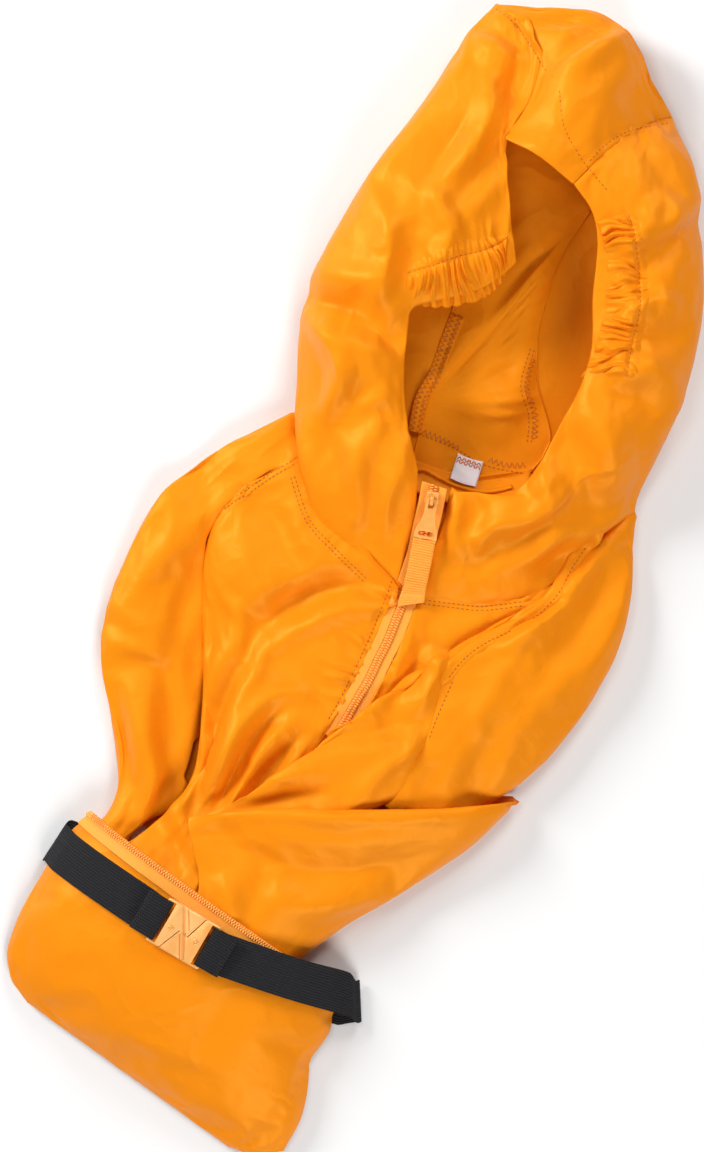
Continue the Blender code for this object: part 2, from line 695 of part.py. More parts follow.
def sleeve_right_lower():
    sections = []
    for step, sink in LOWER_ROLL:
        sections.append(lower_section(LOWER[0], step, sink))
    for number in (0, 1):
        # The surface part of the rolled rows goes down the panel in even steps.
        sections[number][-4:, 1] = sections[2][-4:, 1] + 0.9 * (2 - number)
    sections += [lower_section(row, 0.0, 0.0) for row in LOWER[1:]]
    down = MOUTH_DEPTH
    depths = ((5, 2.4), (22, 2.4), (42, 2.6), (58, 3.4), (66, 4.4))
    mouth = [into_pouch(along, down, depth) for along, depth in depths]
    mouth.append((*pouch_point(71, down), 10))
    over = smooth(mouth, (2, 2, 2, 2, 2))
    end = (*pouch_point(64, down), 4.4)
    sections.append(np.concatenate([over, floor_part(mouth[-1], end)]))
    return loft(sections, (1, 1, 2, 2, 2, 1))


# ---------------------------------------------------------------- pouch and what is packed in it

POUCH_ACROSS = 12


def pouch_front():
    rows = []
    for row, following in zip(POUCH, POUCH[1:]):
        rows += [row.down, (row.down + following.down) / 2]
    rows.append(POUCH[-1].down)
    grid = []
    for down in rows:
        left, right = between(POUCH, "left", "down", down), between(POUCH, "right", "down", down)
        line = []
        for k in range(POUCH_ACROSS + 1):
            along = left + (right - left) * 0.5 * (1 - cos(pi * k / POUCH_ACROSS))
            line.append((*pouch_point(along, down), pouch_height(along, down)))
        grid.append(line)
    return np.array(grid)


def pouch_back(front):
    grid = front[:, ::2].copy()
    middle = grid[..., :2].mean(axis=(0, 1))
    grid[..., :2] = middle + (grid[..., :2] - middle) * 0.985
    grid[..., 2] = POUCH_FLOOR
    return grid


# The packed cloth: sections down the body and then down the pouch, with how full each one is.
Core = namedtuple("Core", "left_x left_y right_x right_y fill base")
CORE_BODY = (
    Core(-66, -30, 74, -30, 0.25, 1.7),
    Core(-72, -62, 76, -62, 0.9, 1.7),
    Core(-66, -100, 70, -100, 1.0, 1.7),
    Core(-58, -138, 58, -138, 1.0, 1.7),
    Core(-58, -170, 36, -180, 0.9, 1.7),
)
CorePacked = namedtuple("CorePacked", "down left right fill")
CORE_PACKED = (
    CorePacked(2, -46, 50, 0.75),
    CorePacked(22, -72, 96, 1.0),
    CorePacked(50, -74, 104, 1.0),
    CorePacked(80, -70, 114, 1.0),
    CorePacked(100, -58, 112, 0.9),
    CorePacked(108, -48, 96, 0.7),
)
CORE_ACROSS = 14
CORE_RIM = 1.6
PACKED_BASE = POUCH_FLOOR + WALL + LAYER_GAP


def core_line(left, right, base, ceiling, fill):
    """One section of the packed cloth: its top, rounded down to a rim at both sides, and its base."""
    top, bottom = [], []
    for k in range(CORE_ACROSS + 1):
        share = 0.5 * (1 - cos(pi * k / CORE_ACROSS))
        x = left[0] + (right[0] - left[0]) * share
        y = left[1] + (right[1] - left[1]) * share
        roof = max(ceiling(x, y) - base, CORE_RIM) * fill
        round_off = (4 * share * (1 - share)) ** 0.4
        top.append((x, y, base + CORE_RIM + max(roof - CORE_RIM, 0) * round_off))
        bottom.append((x, y, base))
    return top, bottom


def core():
    lines = []
    for row in CORE_BODY:
        left, right = (row.left_x, row.left_y), (row.right_x, row.right_y)
        lines.append(core_line(left, right, row.base, lambda x, y: belly(x, y) - 2.4, row.fill))
    for row in CORE_PACKED:
        left, right = pouch_point(row.left, row.down), pouch_point(row.right, row.down)
        lines.append(core_line(left, right, PACKED_BASE, lambda x, y: pouch_over(x, y) - 3.0, row.fill))
    along = (2, 2, 2, 1, 1, 1, 2, 2, 1, 1)
    top = loft([line[0] for line in lines], along)
    bottom = loft([line[1] for line in lines], along)
    return top, bottom


# ---------------------------------------------------------------- trim made from its panel's points

def band_on(grid, rows, columns, wall, flip=False, gap=LAYER_GAP):
    """A strip that lies on a panel: its points, moved out."""
    outer = grid + normals_of(grid, flip) * (gap + wall)
    return outer[rows[0]:rows[1] + 1, columns[0]:columns[1] + 1]


ZIP_TOP = 56.0
ZIP_END = -92.5
ZIP_STEPS = 18


def zip_strip(inner, outer, rise):
    """A strip along the zip's line, between two distances from it."""
    grid = []
    for k in range(ZIP_STEPS + 1):
        y = ZIP_TOP + (ZIP_END - ZIP_TOP) * k / ZIP_STEPS
        grid.append([zip_at(y, inner, rise), zip_at(y, outer, rise)])
    return np.array(grid)


def neck_facing(middle_grid):
    """Sits on the back of the neck, and its lower edge is rolled."""
    upper = middle_grid[0].copy()
    upper[:, 1] += 1.5
    sections = []
    for step, height in ((0, 2.8), (7, 3.2), (14, 6.0), (16.5, 7.6), (18.4, 6.4), (16.8, 4.0)):
        line = upper.copy()
        line[:, 1] -= step
        line[:, 2] = height
        sections.append(line)
    return np.array(sections)


LABEL_COLUMNS = (2.2, 3.0, 3.9)
LABEL_WALL = 0.5


def size_label(facing):
    """Hangs from the top of the facing, on its points."""
    outer = facing + normals_of(facing) * (0.3 + LABEL_WALL)
    rows = []
    for row in outer[:4]:
        line = []
        for column in LABEL_COLUMNS:
            first = int(column)
            share = column - first
            line.append(row[first] * (1 - share) + row[min(first + 1, len(row) - 1)] * share)
        rows.append(line)
    return np.array(rows)


# ---------------------------------------------------------------- belt

BUCKLE_MIDDLE = (-46.0, -240.0)
BUCKLE_TURN = radians(-12.6)
BUCKLE_LENGTH = 36.0
BUCKLE_WIDTH = 29.0
BUCKLE_HEIGHT = 4.2
BAR_FROM_END = 2.2
BAR_RADIUS = 1.2
# Plan of the belt's middle line: the last point on the pouch at each side, and the side folds.
BELT_LEFT_EDGE = (-133.0, -217.5)
BELT_RIGHT_EDGE = (62.5, -248.5)
BELT_LEFT_FOLD = (-140.5, -216.5)
BELT_RIGHT_FOLD = (69.5, -249.5)
BELT_FOLD_DROP = 6.5
BELT_TURN_DROP = 2.2
BELT_STEPS = 12
BELT_ACROSS = (0.5, 0.25, 0.0, -0.25, -0.5)


def buckle_floor():
    x, y = BUCKLE_MIDDLE
    return pouch_over(x, y) + 2.0


def buckle_point(along, across, height):
    x = BUCKLE_MIDDLE[0] + along * cos(BUCKLE_TURN) - across * sin(BUCKLE_TURN)
    y = BUCKLE_MIDDLE[1] + along * sin(BUCKLE_TURN) + across * cos(BUCKLE_TURN)
    return (x, y, buckle_floor() + height)


def belt_across(start, end):
    """The level direction across a run of the belt, towards the hood."""
    run = np.array(end[:2], float) - np.array(start[:2], float)
    run /= np.linalg.norm(run)
    return np.array([-run[1], run[0]])


def belt_loop(side):
    """The belt's end, sewn back over the buckle's bar: over it, round it and out below."""
    bar = side * (BUCKLE_LENGTH / 2 - BAR_FROM_END)
    middle = BUCKLE_HEIGHT / 2
    loop = BAR_RADIUS + 0.4
    line = [
        (bar + side * 15.0, loop - 0.6),
        (bar + side * 9.0, loop + 0.2),
        (bar + side * 4.0, middle + 0.8 * loop),
    ]
    for turn in (90, 45, 0, -45, -90):
        inward = loop * cos(radians(turn))
        line.append((bar - side * inward, middle + loop * sin(radians(turn))))
    line.append((bar + side * 6.0, middle - loop - 0.5))
    return [
        [buckle_point(along, share * BELT_WIDTH, height) for share in BELT_ACROSS]
        for along, height in line
    ]


def belt_over_pouch(side, edge, across):
    """From below the buckle out to the pouch's side, square to the pouch's front all the way."""
    start = np.array(buckle_point(side * (BUCKLE_LENGTH / 2 + 6.0), 0, 0)[:2])
    rows = []
    for k in range(1, BELT_STEPS + 1):
        share = sin(pi / 2 * k / BELT_STEPS)
        middle = start * (1 - share) + np.array(edge) * share
        rows.append([over_pouch(*(middle + across * BELT_WIDTH * at)) for at in BELT_ACROSS])
    return rows


def belt():
    (lx, ly), (rx, ry) = BELT_LEFT_FOLD, BELT_RIGHT_FOLD
    below = belt_across(BELT_LEFT_FOLD, BELT_RIGHT_FOLD)
    middle = (
        (lx, ly, BELT_FOLD_DROP), (lx + 1.2, ly, BELT_TURN_DROP), (lx + 5, ly, 0.0),
        ((lx + rx) / 2, (ly + ry) / 2, 0.0), (rx - 5, ry, 0.0), (rx - 1.2, ry, BELT_TURN_DROP),
        (rx, ry, BELT_FOLD_DROP),
    )
    under = []
    for x, y, height in middle:
        under.append([
            (x + below[0] * BELT_WIDTH * at, y + below[1] * BELT_WIDTH * at, height)
            for at in BELT_ACROSS
        ])
    left = belt_over_pouch(-1, BELT_LEFT_EDGE, belt_across(BELT_LEFT_EDGE, BUCKLE_MIDDLE))
    right = belt_over_pouch(1, BELT_RIGHT_EDGE, belt_across(BUCKLE_MIDDLE, BELT_RIGHT_EDGE))
    return np.array(belt_loop(-1) + left + under + right[::-1] + belt_loop(1)[::-1])


# ---------------------------------------------------------------- hard pieces

def rounded_box(name, size, material, bevel, collection=PARTS):
    """A box of a size in mm about its own origin, with rounded edges."""
    bpy.ops.mesh.primitive_cube_add(size=1)
    obj = bpy.context.object
    obj.name = obj.data.name = name
    for vertex in obj.data.vertices:
        vertex.co = Vector(vertex.co[axis] * size[axis] * MM for axis in range(3))
    for other in list(obj.users_collection):
        other.objects.unlink(obj)
    collection.objects.link(obj)
    if material:
        obj.data.materials.append(material)
    if bevel:
        edge = obj.modifiers.new("Round", "BEVEL")
        edge.width = bevel * MM
        edge.segments = 2
        edge.limit_method = "ANGLE"
    return obj


def cut(obj, cutter):
    cutter.hide_render = True
    cutter.display_type = "WIRE"
    boolean = obj.modifiers.new("Cut " + cutter.name, "BOOLEAN")
    boolean.operation = "DIFFERENCE"
    boolean.object = cutter
    return boolean


def join(obj, other):
    other.hide_render = True
    other.display_type = "WIRE"
    boolean = obj.modifiers.new("Join " + other.name, "BOOLEAN")
    boolean.operation = "UNION"
    boolean.object = other
    return boolean


def set_on(obj, point, turn, tilt=(0.0, 0.0)):
    obj.rotation_euler = (tilt[0], tilt[1], turn)
    obj.location = Vector(point) * MM


BUCKLE_SPLIT = 1.5
SLOT_WIDTH = 2.4
SLOT_SPAN = 26.2


def buckle_half(name, side, material):
    """A cast plate with a bar at its outer end, which the belt's end is sewn round."""
    outer = BUCKLE_LENGTH / 2
    inner = BUCKLE_SPLIT * side + 0.2
    length = outer - inner
    plate = rounded_box(name, (length, BUCKLE_WIDTH, BUCKLE_HEIGHT), material, 0.7)
    middle = side * (inner + length / 2)
    set_on(plate, buckle_point(middle, 0, BUCKLE_HEIGHT / 2), BUCKLE_TURN)
    slot_at = side * (outer - BAR_FROM_END - 1.1 - SLOT_WIDTH / 2)
    slot = rounded_box(name + "_slot", (SLOT_WIDTH, SLOT_SPAN, 3 * BUCKLE_HEIGHT), None, 0, CUTTERS)
    set_on(slot, buckle_point(slot_at, 0, BUCKLE_HEIGHT / 2), BUCKLE_TURN)
    cut(plate, slot)
    # The bar is lower than the plate, so that the belt's turn stands little above it.
    for rise in (-1, 1):
        trim = rounded_box(
            name + ("_bar_top" if rise > 0 else "_bar_foot"),
            (2 * BAR_FROM_END + 0.4, SLOT_SPAN, BUCKLE_HEIGHT), None, 0, CUTTERS,
        )
        set_on(trim, buckle_point(
            side * (outer - BAR_FROM_END + 1.2), 0, BUCKLE_HEIGHT / 2 + rise * (BUCKLE_HEIGHT / 2 + 1.0),
        ), BUCKLE_TURN)
        cut(plate, trim)
    return plate


def zip_frame(y):
    """Turn about Z and slope of the zip's line at y, looking down it."""
    above, below = np.array(zip_at(y + 4)), np.array(zip_at(y - 4))
    run = above - below
    turn = atan2(run[1], run[0]) - pi / 2
    slope = atan2(run[2], hypot(run[0], run[1]))
    return turn, slope


SLIDER_SIZE = (9.0, 11.0, 4.0)
SLIDER_RISE = 1.8
# The bridge is a strap over the slider, and the pull's bar turns under it.
BAR = 1.6
BAR_PLAY = 0.25
BAR_SWEEP = BAR * sqrt(0.5) + BAR_PLAY
HINGE_RISE = SLIDER_RISE + SLIDER_SIZE[2] + BAR_SWEEP
BRIDGE_WIDTH = 2.2
BRIDGE_WALL = 1.1
# The pull widens from its eye to the loop that holds the tab.
PullRow = namedtuple("PullRow", "down half_width")
PULL_ROWS = (
    PullRow(0.0, 3.4),
    PullRow(9.0, 3.6),
    PullRow(14.0, 4.6),
    PullRow(18.5, 6.6),
    PullRow(24.0, 7.0),
)
EYE_SIZE = (4.2, 4.2)
PULL_SLOT = (9.0, 2.6)
SLOT_FROM_END = 3.4
PULL_SLOPE = radians(13.0)
PULL_TURN = radians(7.0)
TAB_WIDTH = 14.0
TAB_LENGTH = 42.0
TAB_WALL = 1.7
TAB_GAP = 0.3


def zip_slider(material):
    """The body that rides on the teeth, and its bridge."""
    turn, slope = zip_frame(SLIDER_Y)
    body = rounded_box("zip_slider", SLIDER_SIZE, material, 1.2)
    set_on(body, zip_at(SLIDER_Y, 0, SLIDER_RISE + SLIDER_SIZE[2] / 2), turn, (slope, 0))
    hinge = zip_at(SLIDER_Y, 0, HINGE_RISE)
    span = 2 * (BAR_SWEEP + BRIDGE_WALL)
    strap = rounded_box("slider_bridge", (BRIDGE_WIDTH, span, span), None, 0, CUTTERS)
    set_on(strap, hinge, PULL_TURN, (PULL_SLOPE, 0))
    way = rounded_box(
        "slider_bridge_way", (2 * BRIDGE_WIDTH, 2 * BAR_SWEEP, 2 * BAR_SWEEP), None, 0, CUTTERS,
    )
    set_on(way, hinge, PULL_TURN, (PULL_SLOPE, 0))
    join(body, strap)
    cut(body, way)
    return body


def zip_pull(material, webbing):
    """The pull and the ribbed tab sewn to it turn together on the pull's bar."""
    pivot = bpy.data.objects.new("pull_pivot", None)
    PARTS.objects.link(pivot)
    pivot.location = Vector(zip_at(SLIDER_Y, 0, HINGE_RISE)) * MM
    pivot.rotation_euler = (PULL_SLOPE, 0, PULL_TURN)
    layers = []
    for height in (BAR / 2, -BAR / 2):
        layers.append(np.array([
            [(side * row.half_width, BAR / 2 - row.down, height) for side in (-1, 1)]
            for row in PULL_ROWS
        ]))
    pull = block("zip_pull", *layers, material)
    pull.parent = pivot
    length = PULL_ROWS[-1].down
    eye_at = -BAR / 2 - EYE_SIZE[1] / 2
    slot_at = BAR / 2 - length + SLOT_FROM_END
    for name, size, at in (("pull_eye", EYE_SIZE, eye_at), ("pull_slot", PULL_SLOT, slot_at)):
        hole = rounded_box(name, (*size, 4 * BAR), None, 0, CUTTERS)
        hole.location = Vector((0, at, 0)) * MM
        hole.parent = pivot
        cut(pull, hole)
    tab = rounded_box("zip_pull_tab", (TAB_WIDTH, TAB_LENGTH, TAB_WALL), webbing, 0.4)
    tab.location = Vector((0, BAR / 2 - length - TAB_GAP - TAB_LENGTH / 2, 0)) * MM
    tab.parent = pivot
    return pull


# ---------------------------------------------------------------- build

hood_left = hood_side(-1, NECK_LEFT, 9, (-3, 66, 0), HOOD_LEFT, HOOD_LEFT_END)
hood_right = hood_side(1, NECK_RIGHT, 9, (68, 83, 0), HOOD_RIGHT, HOOD_RIGHT_END)
hood_mid = hood_centre(hood_left, hood_right)
shell = new_material("orange nylon", ORANGE, 0.42)
tape = new_material("zip tape", PALE_ORANGE, 0.65)
elastic = new_material("black elastic", BLACK, 0.85)
cast = new_material("buckle orange", BUCKLE_ORANGE, 0.4)
paper = new_material("white label", WHITE, 0.8)

sheet("hood_side_left", hood_left, shell)
sheet("hood_side_right", hood_right, shell, flip=True)
sheet("hood_centre", hood_mid, shell)
sheet("hood_elastic_left", band_on(hood_left, (7, 11), (0, 2), 1.6), shell, wall=1.6)
sheet("hood_elastic_right", band_on(hood_right, (8, 13), (0, 2), 1.6, flip=True), shell, wall=1.6, flip=True)
sheet("back", back_panel(hood_left, hood_right, hood_mid), shell, flip=True)
sheet("front_left", front_left(hood_left), shell)
sheet("front_right", front_right(hood_right), shell)
sheet("sleeve_left", sleeve_left(), shell, flip=True)
sheet("sleeve_right", sleeve_right(), shell)
sheet("sleeve_right_lower", sleeve_right_lower(), shell)

front_of_pouch = pouch_front()
sheet("pouch_front", front_of_pouch, shell)
sheet("pouch_back", pouch_back(front_of_pouch), shell, flip=True)
sheet("pouch_zip_tape", band_on(front_of_pouch, (0, 1), (0, 10), 1.0), tape, wall=1.0)
block("folded_core", *core(), shell)

facing = neck_facing(hood_mid)
sheet("neck_facing", facing, shell, wall=1.0)
sheet("size_label", size_label(facing), paper, wall=LABEL_WALL)

sheet("zip_tape_left", zip_strip(-ZIP_HALF_WIDTH, -TAPE_EDGE, 0.0), tape, wall=TAPE_WALL)
sheet("zip_tape_right", zip_strip(TAPE_EDGE, ZIP_HALF_WIDTH, 0.0), tape, wall=TAPE_WALL)
sheet(
    "zip_chain", zip_strip(-CHAIN_HALF_WIDTH, CHAIN_HALF_WIDTH, CHAIN_RISE), tape, wall=CHAIN_WALL,
)
zip_slider(cast)
zip_pull(cast, tape)

sheet("belt", belt(), elastic, wall=BELT_WALL)
buckle_half("buckle_socket", -1, cast)
buckle_half("buckle_plug", 1, cast)
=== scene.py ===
import json
from collections import namedtuple
from math import cos, pi, radians, sin

import bmesh
import bpy
import numpy as np
from mathutils import Matrix, Vector, noise
from mathutils.bvhtree import BVHTree
from mathutils.kdtree import KDTree


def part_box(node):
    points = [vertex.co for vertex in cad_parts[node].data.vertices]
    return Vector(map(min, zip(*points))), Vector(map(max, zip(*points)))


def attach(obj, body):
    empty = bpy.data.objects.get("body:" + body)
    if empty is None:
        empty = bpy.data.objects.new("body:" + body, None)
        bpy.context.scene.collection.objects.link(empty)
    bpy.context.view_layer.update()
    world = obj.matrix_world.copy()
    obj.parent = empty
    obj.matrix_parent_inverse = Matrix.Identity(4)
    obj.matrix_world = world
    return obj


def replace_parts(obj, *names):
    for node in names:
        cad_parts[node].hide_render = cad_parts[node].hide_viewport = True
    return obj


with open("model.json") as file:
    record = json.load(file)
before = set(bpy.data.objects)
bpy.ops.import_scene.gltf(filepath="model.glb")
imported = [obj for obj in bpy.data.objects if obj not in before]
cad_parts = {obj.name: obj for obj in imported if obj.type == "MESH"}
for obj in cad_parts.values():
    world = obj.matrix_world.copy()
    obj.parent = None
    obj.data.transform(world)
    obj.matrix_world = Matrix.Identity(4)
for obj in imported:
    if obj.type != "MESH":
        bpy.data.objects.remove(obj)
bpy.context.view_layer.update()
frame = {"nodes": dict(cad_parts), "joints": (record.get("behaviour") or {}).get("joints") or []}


# ------------ table top, light and camera
# The windbreaker lies face up on a pale matt table. Big soft lights stand all round, with the
# stronger one beyond the hood's left side, and the camera looks straight down.

def alone(add_primitive, **shape):
    """Adds a primitive with nothing else selected, and returns it."""
    bpy.ops.object.select_all(action="DESELECT")
    add_primitive(**shape)
    return bpy.context.object


def new_material(name):
    material = bpy.data.materials.new(name)
    material.use_nodes = True
    return material


def fill(owner, node, inputs):
    """Sets a node's inputs. One that is given another node's output is linked to it."""
    for name, value in inputs.items():
        if isinstance(value, bpy.types.NodeSocket):
            owner.node_tree.links.new(value, node.inputs[name])
        else:
            node.inputs[name].default_value = value


def fill_shader(material, inputs):
    fill(material, material.node_tree.nodes["Principled BSDF"], inputs)


table_top = alone(bpy.ops.mesh.primitive_plane_add, size=8.0, location=(0, 0, -0.0006))
table_top.name = "table_top"
matt_paint = new_material("table_paint")
fill_shader(matt_paint, {"Base Color": (0.86, 0.86, 0.86, 1), "Roughness": 0.9})
table_top.data.materials.append(matt_paint)

room = bpy.data.worlds.new("soft_room")
room.use_nodes = True
fill(room, room.node_tree.nodes["Background"], {"Color": (1.0, 1.0, 1.0, 1), "Strength": 0.17})
bpy.context.scene.world = room

for light_name, place, size, power in (
    ("soft_left", (-1.5, 0.5, 0.95), 0.7, 28.5),
    ("soft_top", (0.3, 1.6, 1.2), 0.8, 15.0),
    ("soft_right", (0.9, -1.4, 1.2), 1.0, 23.5),
    ("soft_over", (-0.55, 0.35, 1.8), 0.6, 5.0),
):
    soft_light = alone(bpy.ops.object.light_add, type="AREA", location=place)
    soft_light.name = light_name
    soft_light.data.shape = "DISK"
    soft_light.data.size = size
    soft_light.data.energy = power
    soft_light.rotation_euler = (-Vector(place)).to_track_quat("-Z", "Y").to_euler()

# The longer side of the view, in metres at the table's level, stands upright and turned.
VIEW_TURN = radians(17.7)
VIEW_MIDDLE = (-0.0157, -0.0096)
VIEW_LENS, VIEW_SENSOR = 120.0, 36.0
VIEW_LONG_SIDE = 0.6912
camera = alone(
    bpy.ops.object.camera_add, rotation=(0, 0, VIEW_TURN),
    location=(*VIEW_MIDDLE, VIEW_LENS / VIEW_SENSOR * VIEW_LONG_SIDE),
)
camera.data.lens = VIEW_LENS
camera.data.sensor_width = VIEW_SENSOR
bpy.context.scene.camera = camera
bpy.context.scene.view_settings.view_transform = "Standard"


# ------------ hood, left side
# One panel of thin satin nylon, from the opening over the crown and round the side fold to the
# table, where it is sewn to the hood's centre panel. It lies loosely, in soft long folds, and is
# gathered into the elastic at the opening.

# A millimetre in metres. In mm, the wall of the solids and the cloth's own thickness here.
MM = 0.001
WALL = 1.2
CLOTH = 0.35


def pick(obj):
    """Selects one piece alone, for the operators that act on what is selected."""
    bpy.ops.object.select_all(action="DESELECT")
    obj.select_set(True)
    bpy.context.view_layer.objects.active = obj


def apply_all(obj):
    pick(obj)
    for modifier in list(obj.modifiers):
        bpy.ops.object.modifier_apply(modifier=modifier.name)


def new_piece(name, mesh=None, points=None, faces=()):
    """A smoothly shaded piece from an edited mesh, or from points in mm and faces."""
    data = bpy.data.meshes.new(name)
    if mesh:
        mesh.to_mesh(data)
        mesh.free()
    else:
        data.from_pydata((points * MM).tolist(), [], faces)
        data.update()
    data.shade_smooth()
    piece = bpy.data.objects.new(name, data)
    bpy.context.scene.collection.objects.link(piece)
    return piece


def upper_layer(node, name, wall=WALL):
    """A cloth solid's outer layer as a new piece, without its turned edges and its inner layer."""
    mesh = bmesh.new()
    mesh.from_mesh(frame["nodes"][node].data)
    bmesh.ops.remove_doubles(mesh, verts=mesh.verts, dist=1e-5)
    # The turned edges are strips as wide as the wall, at a sharp angle to both layers.
    turned = set()
    for edge in mesh.edges:
        if abs(edge.calc_length() - wall * MM) > 8e-6:
            continue
        for face in edge.link_faces:
            if max(other.calc_face_angle(0) for other in face.edges) > 0.9:
                turned.add(face)
    bmesh.ops.delete(mesh, geom=list(turned), context="FACES")
    # Without them the layers come apart. Of the two largest, the higher one is the outer one.
    layers = []
    left = set(mesh.faces)
    while left:
        layer, queue = set(), [left.pop()]
        while queue:
            face = queue.pop()
            layer.add(face)
            for edge in face.edges:
                for other in edge.link_faces:
                    if other in left:
                        left.discard(other)
                        queue.append(other)
        layers.append(layer)
    layers.sort(key=lambda layer: sum(face.calc_area() for face in layer))
    outer = max(layers[-2:], key=lambda layer: sum(
        face.calc_area() * (1 + 20 * face.calc_center_median().z) for face in layer
    ))
    bmesh.ops.delete(mesh, geom=[f for f in mesh.faces if f not in outer], context="FACES")
    # Its triangles are joined to quads again, and its corners are marked to stay sharp.
    bmesh.ops.join_triangles(
        mesh, faces=mesh.faces,
        angle_face_threshold=radians(50), angle_shape_threshold=radians(150),
    )
    sharp = mesh.verts.layers.float.new("crease_vert")
    for vert in mesh.verts:
        rim = [edge.other_vert(vert).co - vert.co for edge in vert.link_edges if edge.is_boundary]
        if len(rim) == 2 and pi - rim[0].angle(rim[1], pi) > radians(38):
            vert[sharp] = 1.0
    return new_piece(name, mesh)


def points_of(piece):
    """Points in mm and unit normals of a piece, as arrays."""
    count = len(piece.data.vertices)
    points, normals = np.empty(count * 3), np.empty(count * 3)
    piece.data.vertices.foreach_get("co", points)
    piece.data.vertex_normals.foreach_get("vector", normals)
    return points.reshape(-1, 3) / MM, normals.reshape(-1, 3)


def put_points(piece, points):
    piece.data.vertices.foreach_set("co", (points * MM).ravel())
    piece.data.update()


def edges_of(piece):
    """The piece's edges, and which of its points lie on its rim."""
    edges = np.array([edge.vertices[:] for edge in piece.data.edges])
    uses = np.bincount([loop.edge_index for loop in piece.data.loops], minlength=len(edges))
    rim = np.zeros(len(piece.data.vertices), bool)
    rim[edges[uses == 1]] = True
    return edges, rim


def evened(values, edges, free, steps):
    """A field over a mesh's points, smoothed along its edges where the points are free."""
    near = np.bincount(edges.ravel(), minlength=len(values))[:, None]
    out = values.copy()
    for _ in range(steps):
        total = np.zeros_like(out)
        np.add.at(total, edges[:, 0], out[edges[:, 1]])
        np.add.at(total, edges[:, 1], out[edges[:, 0]])
        out[free] = 0.4 * out[free] + 0.6 * (total / near)[free]
    return out


def finer(piece, levels, steps):
    """Subdivides a piece of cloth smoothly, keeps its corners and evens out its inner points."""
    sub = piece.modifiers.new("Finer", "SUBSURF")
    sub.levels = sub.render_levels = levels
    sub.boundary_smooth = "PRESERVE_CORNERS"
    apply_all(piece)
    edges, rim = edges_of(piece)
    put_points(piece, evened(points_of(piece)[0], edges, ~rim, steps))
    return piece


def edge_distance(piece, points):
    """How far each point lies from the piece's sewn edges, in mm."""
    rim = np.flatnonzero(edges_of(piece)[1])
    tree = KDTree(len(rim))
    for index in rim:
        tree.insert(points[index], index)
    tree.balance()
    return np.array([tree.find(point)[2] for point in points])


def smooth_curve(curve, steps=10):
    """Points close together on a smooth curve through the given ones."""
    curve = np.array(curve, float)
    spots = []
    for i in range(len(curve) - 1):
        before, after = curve[max(i - 1, 0)], curve[min(i + 2, len(curve) - 1)]
        for t in np.arange(steps) / steps:
            spots.append(0.5 * (
                2 * curve[i] + (curve[i + 1] - before) * t
                + (2 * before - 5 * curve[i] + 4 * curve[i + 1] - after) * t ** 2
                + (3 * curve[i] - before - 3 * curve[i + 1] + after) * t ** 3
            ))
    return np.array(spots + [curve[-1]])


def lengths_along(spots):
    """How far along a line of points each of them lies."""
    return np.concatenate([[0], np.cumsum(np.linalg.norm(np.diff(spots, axis=0), axis=1))])


def along_curve(points, curve):
    """Each point's distance in plan from a curve, its share along it, its side, and the length."""
    spots = smooth_curve(curve)
    gone = lengths_along(spots)
    nearest = np.full(len(points), 1e9)
    share, side = np.zeros(len(points)), np.zeros(len(points))
    for i in range(len(spots) - 1):
        run = spots[i + 1] - spots[i]
        length = max(np.linalg.norm(run), 1e-6)
        offset = points[:, :2] - spots[i]
        t = np.clip(offset @ run / length ** 2, 0, 1)
        distance = np.linalg.norm(offset - t[:, None] * run, axis=1)
        closer = distance < nearest
        nearest[closer] = distance[closer]
        share[closer] = ((gone[i] + t * length) / gone[-1])[closer]
        side[closer] = np.sign(run[0] * offset[:, 1] - run[1] * offset[:, 0])[closer]
    return nearest, share, side, gone[-1]


# A fold is a soft ridge, or a trough where its height is below nought. It is given as the points of
# its curve in plan, its height, its width and, where it has one, its lean, which widens it on the
# curve's left side and narrows it on the right.

# Puckers are short ridges across a seam or a gathered edge, this far apart and reaching this far.
Puckers = namedtuple("Puckers", "curve pitch reach height")
# Creases are uneven small folds all over, longest in the direction of their turn from across.
Creases = namedtuple("Creases", "across along turn height")


def soft(share):
    share = np.clip(share, 0, 1)
    return share * share * (3 - 2 * share)


# A fold's two slopes are nearly flat and reach this many of its widths to each side.
FOLD_REACH = 1.9
FOLD_RISE = 2.2


def fold_heights(points, folds):
    height = np.zeros(len(points))
    for fold in folds:
        curve = [spot for spot in fold if isinstance(spot, tuple)]
        rise, width, *lean = fold[len(curve):]
        distance, share, side, _ = along_curve(points, curve)
        width = width * (1 + sum(lean) * side)
        taper = np.sin(pi * np.clip(0.05 + 0.9 * share, 0, 1)) ** 0.6
        slope = np.sqrt((distance / (FOLD_REACH * width)) ** 2 + 0.003) - 0.055
        height += FOLD_RISE * rise * taper * np.clip(1 - slope, 0, 1) ** 1.1
    return height


def pucker_heights(points, rows):
    height = np.zeros(len(points))
    for number, row in enumerate(rows):
        distance, share, _, length = along_curve(points, row.curve)
        gone = share * length
        drift = np.array([
            noise.noise((s / row.pitch * 0.45, d * 0.04, 3.7 * number))
            for s, d in zip(gone, distance)
        ])
        wave = 1 - 2 * np.abs(np.sin(pi * gone / row.pitch + 3.4 * drift)) ** 0.8
        ends = soft(share * length / 6) * soft((1 - share) * length / 6)
        height += row.height * (0.75 + drift) * wave * ends * np.exp(-(distance / row.reach) ** 2)
    return height


